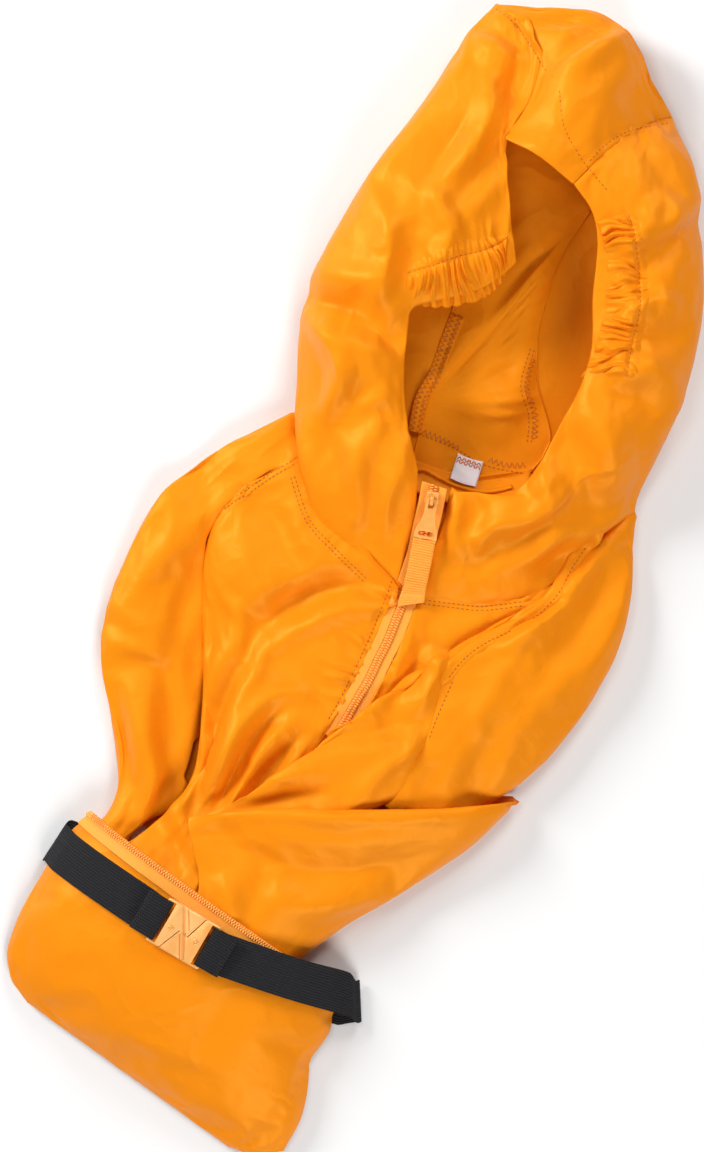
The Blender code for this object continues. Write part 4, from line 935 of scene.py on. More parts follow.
front_left = make_panel(
    "front_left", FRONT_LEFT_FOLDS, FRONT_LEFT_PUCKERS,
    (Creases(28, 80, 20, 2.0), Creases(14, 36, 30, 1.0)), 7,
    seams=(RAGLAN_LEFT, NECK_LEFT, ZIP_SEAM_LEFT), under=((-70, -20, 14, 60), (-80, -216, 0, -182)),
)


# ------------ right front
# The right half. It is pulled across the body into a deep slanting fold below the zip's end, and
# a second layer shows under the fold's edge.

FRONT_RIGHT_FOLDS = (
    ((40, -44), (58, -42), (69, -50), (75, -64), (76, -98), (79, -120), 3.0, 4),
    ((84, -12), (76, -34), (66, -44), -2.0, 5),
    ((22, -144), (40, -108), (60, -96), (80, -92), 2.2, 5),
    ((-12, -122), (10, -104), (38, -86), (60, -74), -2.6, 7),
    ((-22, -128), (4, -112), (36, -96), (66, -86), 2.2, 5),
    ((26, -20), (24, -50), (14, -78), 2.4, 6), ((36, -28), (36, -52), (30, -80), -2.6, 6),
    ((48, -36), (48, -56), (44, -84), 1.8, 5), ((60, -54), (60, -72), (56, -92), -2.2, 4),
    ((96, 6), (88, -14), (84, -30), 1.6, 6), ((30, -8), (44, -10), (66, -4), -1.0, 4),
    ((-40, -150), (-20, -136), (-2, -124), 2.4, 5), ((-34, -160), (-12, -146), (8, -134), -2.4, 4),
    ((108, 30), (101, 8), (88, -7), (68, -25), (52, -38), -3.0, 4.5),
)
NECK_RIGHT = ((30, -10), (46, -7), (64, -3), (84, 6))
FRONT_RIGHT_PUCKERS = (
    Puckers(((26, 0), (24, -40), (14, -92)), 12.0, 8, 0.8),
    Puckers(((30, -2), (58, 2), (90, 14)), 8.0, 5, 0.5),
)
front_right = make_panel(
    "front_right", FRONT_RIGHT_FOLDS, FRONT_RIGHT_PUCKERS,
    (Creases(28, 80, -50, 2.0), Creases(14, 36, -40, 1.0)), 8,
    seams=(NECK_RIGHT,), under=((20, -14, 116, 60), (-60, -170, 100, -90)),
)


# ------------ sleeves
# The left sleeve hangs beside the body and its hand end is tucked into the pouch. The right one
# is folded over, upper part first and lower part across the belly, into the same mouth.

SLEEVE_LEFT_FOLDS = (
    ((-140, 26), (-128, -10), (-120, -50), 1.6, 10), ((-118, 44), (-122, 10), (-124, -30), -1.4, 8),
    ((-108, 4), (-106, -50), (-104, -100), -2.0, 5), ((-150, -72), (-126, -76), (-98, -76), 0.8, 3),
    ((-150, -80), (-126, -82), (-98, -83), -0.9, 3), ((-150, -88), (-124, -90), (-97, -88), 1.0, 3),
    ((-142, -104), (-122, -100), (-97, -96), -1.2, 5),
    ((-101, -100), (-94, -120), (-88, -146), -3.2, 6),
    ((-116, -120), (-102, -146), (-90, -168), 2.2, 6),
    ((-132, -110), (-118, -146), (-100, -176), -1.8, 7),
    ((-80, -150), (-84, -172), (-84, -198), -2.2, 4),
    ((-92, -152), (-92, -174), (-90, -198), 2.2, 4),
)
SLEEVE_RIGHT_FOLDS = (
    ((128, 38), (127, 12), (112, -35), (103, -70), (93, -112), -3.4, 7),
    ((130, 10), (118, -30), (106, -70), (100, -106), 2.4, 5),
    ((114, 36), (100, 6), (90, -30), (84, -70), 2.6, 6), ((140, 44), (138, 0), (124, -40), 1.4, 7),
    ((96, -20), (92, -60), (86, -110), -2.0, 5), ((72, 20), (88, 14), (104, 18), -1.4, 6),
    ((132, 62), (120, 44), (113, 24), (104, 2), (90, -16), (72, -32), 2.0, 4),
)
LOWER_FOLDS = (
    (
        (-66, -178), (-46, -165), (-21, -154), (18, -146), (44, -136), (76, -126), (114, -112),
        2.2, 5,
    ),
    ((-52, -176), (-42, -180), (-32, -182), -1.8, 5),
    ((-15, -188), (-12, -204), (-10, -218), -1.8, 6),
    ((-46, -178), (-10, -186), (40, -176), (84, -150), -1.8, 9),
    ((-20, -206), (14, -206), (50, -190), 1.8, 9), ((-36, -200), (-28, -212), (-20, -226), 2.2, 5),
    ((10, -226), (30, -214), (56, -196), -1.6, 8),
)
sleeve_left = make_panel(
    "sleeve_left", SLEEVE_LEFT_FOLDS, (Puckers(((-82, 50), (-100, 26), (-110, 2)), 9.0, 6, 0.5),),
    (Creases(30, 90, 12, 1.4), Creases(16, 40, 20, 0.6)), 9,
    under=((-116, -12, -60, 100), (-112, -216, -60, -182), (-112, -182, -76, 20)),
)
sleeve_right = make_panel(
    "sleeve_right", SLEEVE_RIGHT_FOLDS, (),
    (Creases(30, 90, -20, 1.6), Creases(16, 40, -30, 0.8)), 10,
    under=((84, 10, 160, 90), (40, -135, 110, -88)),
)
sleeve_right_lower = make_panel(
    "sleeve_right_lower", LOWER_FOLDS, (), (Creases(30, 80, -60, 0.5),), 11,
    under=((-60, -260, 60, -226),), growth=0.01, stiffness=4.0,
)

# The right raglan seam is felled: its doubled allowance lies over both panels.
RAGLAN_RIGHT = (
    (120, 63), (110, 48), (106, 34), (103, 19), (96, 4), (86, -8), (72, -21), (62, -34), (56, -48),
    (54, -58),
)
FELLED = (
    (-4.4, -1.0), (-3.8, 0.5), (-2.6, 1.2), (-1.4, 1.3), (0.0, 0.9), (1.6, 0.9), (3.0, 0.7),
    (4.0, 0.2), (4.8, -0.9),
)
raglan_seam_right = laid_strip(
    "raglan_seam_right", RAGLAN_RIGHT, FELLED, (sleeve_right, front_right, hood_side_right), even=3,
)


# ------------ pouch
# A flat bag of the same nylon, turned out from the pocket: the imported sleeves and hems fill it,
# so its front is smooth and crowned. A zip runs along its open top.

POUCH_FOLDS = (
    ((-6, -258), (-12, -284), (-14, -312), -0.8, 12), ((44, -292), (34, -288), (24, -286), -1.6, 4),
    ((-120, -236), (-118, -262), (-110, -290), 0.8, 10),
)
BELT_RUN = ((-142, -214), (-90, -229), (-46, -240), (0, -250), (72, -262))
POUCH_MOUTH = ((-126, -196), (-80, -210), (-40, -222), (40, -246))
pouch_front = make_panel(
    "pouch_front", POUCH_FOLDS,
    (Puckers(((53, -256), (50, -280), (40, -320), (20, -350)), 9.0, 5, 0.7),),
    (Creases(40, 70, -18, 0.5),), 12, held=((BELT_RUN, 16), (POUCH_MOUTH, 10)),
    growth=0.012, stiffness=4.0,
)
pouch_back = give_wall(turn_edges(finer(upper_layer("pouch_back", "pouch_back_cloth"), 3, 4)))
sew_in(pouch_back, orange_nylon, "pouch_back")
# Where the bag's outline bulges and is pinched in: the place, how far round it, and the move.
POUCH_CORNER, POUCH_NOTCH = ((52, -328), 22, (3.6, -0.6)), ((51, -293), 9, (-2.6, 0.0))
for bag_side in (pouch_front, pouch_back):
    for middle, reach, by in (POUCH_CORNER, POUCH_NOTCH):
        points, _ = points_of(bag_side)
        near = np.exp(-(np.linalg.norm(points[:, :2] - middle, axis=1) / reach) ** 2)
        points[:, :2] += near[:, None] * np.array(by)
        put_points(bag_side, points)


# ------------ front zip, tapes and teeth
# Two woven tapes with a closed nylon coil between them: the coil shows as two rows of small
# teeth that mesh, each one a loop of thick thread. The tapes lie level with the front's edges.

TOOTH_PITCH = 1.65
TAPE_WALL = 0.3
TAPE_EDGE = ((0.2, 0.1), (0.3, 0.5))


def strip_rows(piece):
    """The rows of points across a strip of quads, from one end of it to the other."""
    mesh = bmesh.new()
    mesh.from_mesh(piece.data)
    corner = next(vert for vert in mesh.verts if len(vert.link_edges) == 2)
    sides = []
    for edge in corner.link_edges:
        side = [corner, edge.other_vert(corner)]
        while len(side[-1].link_edges) > 2:
            edge = next(e for e in side[-1].link_edges if e.is_boundary and e is not edge)
            side.append(edge.other_vert(side[-1]))
        sides.append(side)
    row, rows, used = min(sides, key=len), [], set()
    while row:
        rows.append([vert.index for vert in row])
        used.update(row)
        around = ([edge.other_vert(vert) for edge in vert.link_edges] for vert in row)
        row = [other for others in around for other in others if other not in used]
    mesh.free()
    return rows


def measure_strip(piece):
    """Gives a strip of quads a UV map in metres: along it, and across it from its first edge."""
    rows = np.array(strip_rows(piece))
    points, _ = points_of(piece)
    grid = points[rows] * MM
    along = np.linalg.norm(np.diff(grid, axis=0, prepend=grid[:1]), axis=2).mean(1).cumsum()
    across = np.linalg.norm(np.diff(grid, axis=1, prepend=grid[:, :1]), axis=2).cumsum(1)
    spots = np.empty((len(points), 2))
    spots[rows, 0], spots[rows, 1] = along[:, None], across
    lay = piece.data.uv_layers.new(name="Weave")
    for loop in piece.data.loops:
        lay.data[loop.index].uv = spots[loop.vertex_index]
    return piece


def webbing(
    name, colour, pale, along=0.9, across=0.7, depth=0.25, roughness=0.6, seen_depth=0.35,
):
    """Woven tape: its threads a pitch in mm apart along and across it, on its own UV map."""
    material = new_material(name)
    weave = add(material, "UVMap", {}, uv_map="Weave")
    split = add(material, "SeparateXYZ", {"Vector": weave}).node.outputs
    over, under = (
        math(material, "COSINE", math(material, "MULTIPLY", split[axis], 2 * pi / (pitch * MM)))
        for axis, pitch in (("X", across), ("Y", along))
    )
    knots = math(material, "MULTIPLY_ADD", over, 0.35, under)
    lift = add(material, "MapRange", {"Value": knots, "From Min": -1.35, "From Max": 1.35})
    fuzz = texture(material, "Noise", {"Scale": 900.0})
    colour_by(material, math(material, "MULTIPLY_ADD", fuzz, 0.4, lift), colour, pale)
    fill_shader(material, {
        "Roughness": roughness, "Specular IOR Level": 0.3,
        "Normal": relief(material, lift, seen_depth, depth * MM),
    })
    return material


zip_tape = webbing("zip_tape", (0.92, 0.30, 0.02), (1.0, 0.40, 0.05))


# The zip's solids end where folds cover them. From this level down to their end, in mm, they are
# drawn on by this much below the folds.
COVERED_FROM, COVERED_END = -70.0, -94.0
DRAWN_ON = (-4.6, -12.5, -0.6)


def lengthen(piece):
    points, _ = points_of(piece)
    lower = np.clip((points[:, 1] - COVERED_FROM) / (COVERED_END - COVERED_FROM), 0, 1)[:, None]
    points += lower ** 1.5 * np.array(DRAWN_ON)
    put_points(piece, points)
    return piece


for node in ("zip_tape_left", "zip_tape_right"):
    tape = measure_strip(lengthen(upper_layer(node, node + "_weave", 0.8)))
    give_wall(turn_edges(finer(tape, 3, 4), TAPE_EDGE), TAPE_WALL)
    sew_in(tape, zip_tape, node)


def centreline(rows, points):
    """Middle points and across directions of a strip, evenly spaced as its rows are."""
    middle = np.array([points[row].mean(0) for row in rows])
    across = np.array([points[row[-1]] - points[row[0]] for row in rows])
    return middle, across / np.linalg.norm(across, axis=1)[:, None]


def frames_along(middle, across, pitch, start):
    """Places a pitch apart along a line: where, and the along, across and up directions there."""
    gone = lengths_along(middle)

    def at(s, line):
        return np.array([np.interp(s, gone, line[:, k]) for k in range(3)])

    places = []
    for s in np.arange(start, gone[-1], pitch):
        along = at(min(s + 1.5, gone[-1]), middle) - at(max(s - 1.5, 0), middle)
        along /= np.linalg.norm(along)
        side = at(s, across)
        side -= along * (side @ along)
        side /= np.linalg.norm(side)
        places.append((at(s, middle), along, side, np.cross(along, side)))
    return places


def repeat(name, pattern, places):
    """One piece of many copies of a small pattern, each at its place: a point and three axes."""
    points, _ = points_of(pattern)
    faces = np.array([list(face.vertices) for face in pattern.data.polygons], object)
    copies = [spot + points @ np.array(axes) for spot, *axes in places]
    every = [[n * len(points) + i for i in face] for n in range(len(copies)) for face in faces]
    bpy.data.objects.remove(pattern)
    return new_piece(name, points=np.concatenate(copies), faces=every)


def bead(length, width, height, segments=10, rings=6):
    """A rounded bead of thread or cast metal, longest along X, as the pattern of a row."""
    pattern = alone(
        bpy.ops.mesh.primitive_uv_sphere_add, segments=segments, ring_count=rings, radius=0.5 * MM,
    )
    bpy.ops.object.mode_set(mode="EDIT")
    bpy.ops.mesh.select_all(action="SELECT")
    bpy.ops.transform.rotate(value=pi / 2, orient_axis="Y", center_override=(0, 0, 0))
    bpy.ops.transform.resize(value=(length, width, height), center_override=(0, 0, 0))
    bpy.ops.object.mode_set(mode="OBJECT")
    return pattern


def tooth_places(middle, across, half_width, pitch, lift):
    """The teeth of both rows, half a pitch apart, each leaning towards the next one."""
    places = []
    for side, start in ((-1, 0.0), (1, pitch / 2)):
        for spot, along, over, up in frames_along(middle, across, pitch, start):
            if up[2] < 0:
                over, up = -over, -up
            lean = over * side + along * 0.18
            lean /= np.linalg.norm(lean)
            root = spot + over * side * half_width + up * lift
            places.append((root, lean, np.cross(up, lean), up))
    return places


chain = lengthen(upper_layer("zip_chain", "zip_chain_base", 1.6))
chain_middle, chain_across = centreline(strip_rows(chain), points_of(chain)[0])
zip_teeth = repeat("zip_teeth", bead(2.6, 1.15, 1.5), tooth_places(
    chain_middle, chain_across, 1.25, TOOTH_PITCH, -0.2,
))
coil_nylon = new_material("coil_nylon")
streaks = texture(coil_nylon, "Noise", {"Scale": 400.0})
colour_by(coil_nylon, streaks, (1.0, 0.38, 0.045), (1.0, 0.47, 0.09))
fill_shader(coil_nylon, {"Roughness": 0.38})
dress(zip_teeth, coil_nylon)
measure_strip(chain)
points, normals = points_of(chain)
put_points(chain, points - normals * 0.3)
give_wall(finer(chain, 2, 0), 0.5)
# The cord under the teeth is a darker orange than the tapes: painted shade between the teeth.
chain_cord_painted_shade = webbing("chain_cord_painted_shade", (0.80, 0.21, 0.010), (0.90, 0.28, 0.018))
sew_in(chain, chain_cord_painted_shade, "zip_chain")


# ------------ zip slider
# A small cast slider, narrow at the waist, with a bridge over its top that the pull hangs on.

def cast_metal(name, dark, pale):
    """Painted die-cast zinc: smooth and faintly grained, with its sharp edges coloured paler as a
    painted highlight.
    """
    material = new_material(name)
    cloud = texture(material, "Noise", {"Scale": 160.0, "Detail": 3.0})
    # Sharp edges are coloured paler by their pointiness: a painted highlight. The cloud mixed in
    # with it is the metal's own grain.
    edge_highlight_pointiness = add(material, "NewGeometry", {}, "Pointiness")
    edges = add(material, "MapRange", {"Value": edge_highlight_pointiness, "From Min": 0.50, "From Max": 0.62})
    colour_by(material, math(material, "MULTIPLY_ADD", edges, 0.6, cloud), dark, pale)
    fill_shader(material, {
        "Roughness": 0.36, "Metallic": 0.25, "Normal": relief(material, cloud, 0.12, 0.0003),
    })
    return material


def set_in_place(piece, spot, turn=Matrix.Identity(3)):
    """Turns and moves a finished piece's points, so that its object stays at the origin."""
    piece.data.transform(Matrix.Translation(Vector(spot) * MM) @ turn.to_4x4())
    piece.data.update()
    return piece


def narrow_rows(piece, axis, at, share):
    """In edit mode, takes the points at one level and draws them in sideways."""
    for vert in piece.data.vertices:
        vert.select = abs(vert.co[axis] / MM - at) < 0.2
    bpy.ops.object.mode_set(mode="EDIT")
    bpy.ops.transform.resize(value=(share, 1, 1), center_override=(0, 0, 0))
    bpy.ops.object.mode_set(mode="OBJECT")


def box_of(name, size, cuts=0):
    """A box of a size in mm about the origin, with its faces cut evenly."""
    box = alone(bpy.ops.mesh.primitive_cube_add, size=1)
    box.name = box.data.name = name
    bpy.ops.object.mode_set(mode="EDIT")
    bpy.ops.transform.resize(value=[side * MM for side in size], center_override=(0, 0, 0))
    if cuts:
        bpy.ops.mesh.subdivide(number_cuts=cuts)
    bpy.ops.mesh.select_all(action="DESELECT")
    bpy.ops.object.mode_set(mode="OBJECT")
    return box


def round_off(piece, width, segments=3, angle=30):
    edge = piece.modifiers.new("Round", "BEVEL")
    edge.width = width * MM
    edge.segments = segments
    edge.limit_method = "ANGLE"
    edge.angle_limit = radians(angle)
    apply_all(piece)
    pick(piece)
    bpy.ops.object.shade_smooth_by_angle(angle=radians(35))
    return piece


def carve(piece, cutter):
    boolean = piece.modifiers.new("Carve", "BOOLEAN")
    boolean.operation = "DIFFERENCE"
    boolean.solver = "EXACT"
    boolean.object = cutter
    apply_all(piece)
    bpy.data.objects.remove(cutter)
    return piece


cast_orange = cast_metal("orange_cast_metal", (0.96, 0.36, 0.04), (1.0, 0.52, 0.14))
PULL_TURN = radians(7.0)
PULL_SLOPE = radians(13.0)
HINGE = tuple(value / MM for value in frame["joints"][0]["pos_m"])
pull_axes = Matrix.Rotation(PULL_TURN, 3, "Z") @ Matrix.Rotation(PULL_SLOPE, 3, "X")

BRIDGE_HEIGHT = 3.4
slider_spot = np.array([HINGE[0], HINGE[1], HINGE[2] - BRIDGE_HEIGHT])
nearest_row = int(np.argmin(np.abs(chain_middle[:, 1] - HINGE[1])))
run = chain_middle[nearest_row - 1] - chain_middle[nearest_row + 1]
if run[1] < 0:
    run = -run
slider_axes = (
    Matrix.Rotation(np.arctan2(run[1], run[0]) - pi / 2, 3, "Z")
    @ Matrix.Rotation(np.arctan2(run[2], np.hypot(run[0], run[1])), 3, "X")
)
slider = box_of("slider", (9.0, 11.0, 4.0), 3)
for level, width in ((-5.5, 0.74), (-2.75, 0.84), (2.75, 1.0), (5.5, 0.92)):
    narrow_rows(slider, 1, level, width)
narrow_rows(slider, 2, 0.0, 0.86)
round_off(slider, 0.7, 3, 25)
set_in_place(slider, slider_spot, slider_axes)
bridge = box_of("slider_bridge", (2.3, 5.2, 4.9))
round_off(bridge, 1.0, 4)
carve(bridge, box_of("way", (8.0, 2.9, 2.9)))
set_in_place(bridge, HINGE, pull_axes)


def join(piece, *others):
    pick(piece)
    for other in others:
        other.select_set(True)
    bpy.ops.object.join()


join(slider, bridge)
sew_in(slider, cast_orange, "zip_slider")


# ------------ zip pull
# A flat cast pull, narrow at the eye that hangs on the bridge and flaring to a loop with a wide
# slot. It turns up with the tab that is sewn through the slot.

PULL_LEVELS = (
    (1.0, 6.4), (-2.0, 6.8), (-8.0, 7.0), (-13.0, 8.6), (-17.0, 12.4), (-19.5, 13.6), (-23.2, 13.8),
)
pull = alone(
    bpy.ops.mesh.primitive_grid_add, x_subdivisions=4, y_subdivisions=len(PULL_LEVELS) - 1, size=1,
)
pull.name = pull.data.name = "pull_plate"
grid_levels = sorted({round(vert.co.y, 5) for vert in pull.data.vertices}, reverse=True)
for vert in pull.data.vertices:
    level = grid_levels.index(round(vert.co.y, 5))
    y, width = PULL_LEVELS[level]
    vert.co = (vert.co.x * width * MM, y * MM, 0)
plate = pull.modifiers.new("Plate", "SOLIDIFY")
plate.thickness = 1.5 * MM
plate.offset = 0
apply_all(pull)
carve(pull, round_off(set_in_place(box_of("eye", (3.4, 3.7, 8.0)), (0, -2.85, 0)), 0.5))
carve(pull, round_off(set_in_place(box_of("slot", (9.2, 2.9, 8.0)), (0, -20.2, 0)), 1.2, 4))
round_off(pull, 0.35, 3, 40)
set_in_place(pull, HINGE, pull_axes)
sew_in(pull, cast_orange, "zip_pull", "pull")


# ------------ ribbed tab on the pull
# A strip of ribbed webbing, folded through the pull's slot and stitched. Its end is folded
# under at a slant and stands a little wider.

TAB_TOP = -23.9
TAB_LENGTH = 41.6
RIB_PITCH = 1.55
tab = alone(bpy.ops.mesh.primitive_grid_add, x_subdivisions=12, y_subdivisions=210, size=1)
tab.name = tab.data.name = "pull_tab"
for vert in tab.data.vertices:
    down = 0.5 - vert.co.y
    side = vert.co.x * 2
    width = 6.7 + 0.9 * soft((down - 0.72) / 0.2) - 0.35 * soft((down - 0.95) / 0.05)
    rib = abs(sin(pi * down * TAB_LENGTH / RIB_PITCH)) ** 0.8
    rib *= 0.62 - 0.42 * soft((down - 0.74) / 0.1)
    wrap = 0.35 * soft(1 - down / 0.07)
    slant = 2.6 * down ** 6 * -side
    vert.co = (
        (side * width - 0.8 * down ** 3) * MM,
        (TAB_TOP - down * TAB_LENGTH - slant + 1.4 * down ** 6) * MM,
        (rib + wrap + 0.45 * soft((down - 0.82) / 0.05) + 0.2 * sin(5 * down + side)) * MM,
    )
give_wall(tab, 1.3)
set_in_place(tab, HINGE, pull_axes)
lay = tab.data.uv_layers[0]
lay.name = "Weave"
for entry in lay.data:
    entry.uv = (entry.uv[1] * TAB_LENGTH * MM, entry.uv[0] * 14 * MM)
sew_in(tab, zip_tape, "zip_pull_tab", "pull")


# ------------ pouch zip
# The same kind of tape along the pouch's open top, its coil half under the front's edge.

pouch_tape = measure_strip(upper_layer("pouch_zip_tape", "pouch_zip_tape_weave", 1.0))
pouch_line, pouch_over = centreline(strip_rows(pouch_tape), points_of(pouch_tape)[0])
give_wall(turn_edges(finer(pouch_tape, 3, 4), TAPE_EDGE), TAPE_WALL)
sew_in(pouch_tape, zip_tape, "pouch_zip_tape")
towards_hood = pouch_over if pouch_over[:, 1].mean() > 0 else -pouch_over
pouch_teeth = repeat("pouch_zip_teeth", bead(2.4, 1.1, 1.3), tooth_places(
    pouch_line + towards_hood * 3.4, towards_hood, 0.9, TOOTH_PITCH, 0.8,
))
dress(pouch_teeth, coil_nylon)


# ------------ belt
# A black knitted elastic, ribbed along its length. It goes round the pouch, and each end passes
# round a bar of the buckle and is sewn down behind a row of black stitches.

BUCKLE_TURN = radians(-12.6)
BUCKLE_MIDDLE = (-46.0, -240.0)
BUCKLE_SIZE = (36.0, 29.0, 4.2)
BUCKLE_HALF = BUCKLE_SIZE[2] / 2
BUCKLE_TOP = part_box("buckle_socket")[1][2] / MM
buckle_axes = Matrix.Rotation(BUCKLE_TURN, 3, "Z")
BELT_ACROSS = 25.0 * np.linspace(-0.5, 0.5, 13)
# The belt comes from its sewn end to the bar, round it and back, at these lengths past the bar
# and heights from the plate's middle.
BAR = 15.8
ROUND_BAR = (
    (14.2, 0.2), (13.7, 1.5), (9.0, 2.1), (4.0, 2.7), (1.2, 2.6), (-0.6, 2.2), (-1.8, 1.1),
    (-2.1, -0.2), (-1.2, -1.6), (1.5, -1.9), (6.0, -1.2),
)
# Plan of the run over the pouch at each side, and of the run below it, which comes out askew.
BELT_EDGE = {-1: (-130.5, -218.2), 1: (60.5, -248.4)}
BELT_BELOW = {-1: (-134.0, -209.5), 1: (57.5, -260.5)}
BELT_FOLD = {-1: (-136.5, -216.6), 1: (66.0, -250.2)}
# The fold at each end is askew: its one edge lies this share of the width further out.
END_SKEW = {-1: 0.0, 1: 0.42}
black_elastic = webbing(
    "black_elastic", (0.0025, 0.0025, 0.003), (0.018, 0.018, 0.021),
    along=1.6, across=1.1, depth=0.7, roughness=0.8, seen_depth=1.0,
)
pouch_trees = [tree_of(frame["nodes"]["pouch_front"]), tree_of(frame["nodes"]["pouch_zip_tape"])]


def in_buckle(along, across, height):
    """A point in mm from one in the buckle's own frame, its height from the plate's middle."""
    spot = buckle_axes @ Vector((along, across, 0))
    return (BUCKLE_MIDDLE[0] + spot.x, BUCKLE_MIDDLE[1] + spot.y, BUCKLE_TOP - BUCKLE_HALF + height)


def level_side(start, end):
    run = np.array(end, float) - np.array(start, float)
    run /= np.linalg.norm(run)
    return np.array((-run[1], run[0]))


def belt_rows():
    """Rows of points across the belt, from its end sewn down left of the buckle to the other."""
    halves = []
    for side in (-1, 1):
        rows = []
        for past_bar, height in ROUND_BAR:
            along = side * (BAR + past_bar)
            rows.append([in_buckle(along, -side * across, height) for across in BELT_ACROSS])
        # From the buckle it runs over the pouch to the fold at the pouch's edge.
        start = np.array(in_buckle(side * (BAR + 8.0), 0, 0)[:2])
        edge = np.array(BELT_EDGE[side], float)
        over = level_side(edge, start)
        run = []
        for t in np.linspace(0.03, 1, 26):
            skew = (edge - start) / np.linalg.norm(edge - start)
            skew *= END_SKEW[side] * soft((t - 0.55) / 0.45)
            middle = start * (1 - t) + edge * t
            spots = [middle + (over + skew) * across for across in BELT_ACROSS]
            level = [top_at(pouch_trees, *spot) for spot in spots]
            past_mouth = max([z for z in level if z is not None], default=6.0)
            lift = 2.2 + 1.6 * soft((spots[0][0] + 20.0) / 40.0)
            run.append([
                (*spot, (past_mouth if z is None else z) + lift) for spot, z in zip(spots, level)
            ])
        run = np.array(run)
        for _ in range(12):
            ease(run[:, :, 2], 0.3)
            ease(run[:, :, 2].T, 0.2)
        rows += run.tolist()
        # There it goes round and in under the pouch, turning to the run below.
        below = level_side(BELT_BELOW[-1], BELT_BELOW[1]) * -side
        low, out = np.array(BELT_BELOW[side]), np.array(BELT_FOLD[side])
        for share_out, height in ((0.75, 6.4), (1.0, 4.6), (0.9, 2.4), (0.5, 0.9), (0.0, 0.35)):
            middle = low * (1 - share_out) + out * share_out
            mix = soft((2.6 - height) / 2.2)
            way = (over + skew) * (1 - mix) + below * mix
            way /= np.linalg.norm(way)
            rows.append([(*(middle + way * across), height) for across in BELT_ACROSS])
        halves.append(rows)
    right = [row[::-1] for row in halves[1][::-1]]
    return np.array(halves[0] + right)


belt = give_wall(finer(measure_strip(grid_piece("belt_elastic", belt_rows())), 2, 0), 1.1)
sew_in(belt, black_elastic, "belt")


# ------------ buckle
# Two cast halves that meet in a zigzag, as a lightning flash. Each has crossed grooves and a
# small rivet, and a bar at its end for the belt.

buckle_cast = cast_metal("buckle_cast_metal", (0.95, 0.35, 0.045), (1.0, 0.52, 0.17))
SPLIT = ((8.4, 16.5), (2.8, -0.8), (-3.0, 0.3), (-10.1, -17.0))
SPLIT_GAP = 0.6


def beyond_split(side):
    """A cutter for all that lies beyond the zigzag, seen from the half on this side."""
    far = -side * 30.0
    outline = [(x + side * SPLIT_GAP / 2, y) for x, y in SPLIT] + [(far, -17.0), (far, 16.5)]
    cutter = alone(
        bpy.ops.mesh.primitive_circle_add, vertices=len(outline), radius=MM, fill_type="NGON",
    )
    for vert, (x, y) in zip(cutter.data.vertices, outline):
        vert.co = (x * MM, y * MM, -6 * MM)
    bpy.ops.object.mode_set(mode="EDIT")
    bpy.ops.mesh.select_all(action="SELECT")
    bpy.ops.mesh.extrude_region_move(TRANSFORM_OT_translate={"value": (0, 0, 12 * MM)})
    bpy.ops.mesh.select_all(action="SELECT")
    bpy.ops.mesh.normals_make_consistent(inside=False)
    bpy.ops.object.mode_set(mode="OBJECT")
    return cutter


def buckle_bar(name, start, end, width, depth):
    """A cutter along the plate's top, from start to end, this wide and deep."""
    start, end = Vector((*start, 0)), Vector((*end, 0))
    run = end - start
    bar = box_of(name, (run.length, width, 2 * depth))
    turn = Matrix.Rotation(np.arctan2(run.y, run.x), 3, "Z")
    return set_in_place(bar, (start + end) / 2 + Vector((0, 0, BUCKLE_HALF)), turn)


GROOVES = (
    ((-8.2, 15.0), (0.1, 0.5), 2.0, 1.0), ((0.1, 0.5), (7.6, -15.2), 2.0, 1.0),
    ((-1.9, -1.5), (5.4, -14.6), 0.7, 1.0), ((-5.0, 14.6), (2.0, 3.0), 0.6, 0.9),
)
for side, node in ((-1, "buckle_socket"), (1, "buckle_plug")):
    half = box_of(node + "_cast", BUCKLE_SIZE)
    round_off(half, 1.6, 4, 80)
    carve(half, beyond_split(side))
    # A slot leaves the bar for the belt, and the bar is thinner than the plate.
    carve(half, set_in_place(box_of("slot", (2.4, 26.2, 12.0)), (side * 13.5, 0, 0)))
    for rise in (-3.1, 3.1):
        carve(half, set_in_place(box_of("bar_trim", (4.8, 26.2, 4.2)), (side * 17.0, 0, rise)))
    for groove in GROOVES:
        carve(half, buckle_bar("groove", *groove))
    round_off(half, 0.22, 2, 40)
    rivet = alone(
        bpy.ops.mesh.primitive_uv_sphere_add, segments=20, ring_count=10, radius=1.1 * MM,
    )
    ring = alone(
        bpy.ops.mesh.primitive_torus_add, major_radius=1.55 * MM, minor_radius=0.32 * MM,
        major_segments=24, minor_segments=8,
    )
    for part in (rivet, ring):
        set_in_place(part, (side * 8.35, -0.5, BUCKLE_HALF))
    join(half, rivet, ring)
    set_in_place(half, (*BUCKLE_MIDDLE, BUCKLE_TOP - BUCKLE_HALF), buckle_axes)
    sew_in(half, buckle_cast, node)


# ------------ packed cloth inside
# What fills the jacket between front and back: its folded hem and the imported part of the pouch.

core = frame["nodes"]["folded_core"]
core.data.materials.clear()
core.data.materials.append(orange_nylon)


# ------------ overlocked seams inside the hood
# Inside, the hood's seam allowances are trimmed, overlocked and pressed to one side: narrow
# doubled strips lie on the cloth.

FLAT_STRIP = (
    (-4.6, -0.5), (-4.2, 0.3), (-3.6, 0.75), (-1.5, 0.6), (1.5, 0.6), (3.6, 0.75), (4.2, 0.3),
    (4.6, -0.5),
)
OVERLOCKED = ((-3, 158), (-4, 140), (-5, 120), (-8, 104), (-6, 84))
overlocked_strip = laid_strip("overlocked_strip", OVERLOCKED, FLAT_STRIP, (hood_centre,))


# ------------ stitches
# Every seam and hem is held by short lockstitches of polyester thread, sunk a little into the
# cloth. The hood's inner seams are overlocked, and the label is caught by a zigzag.

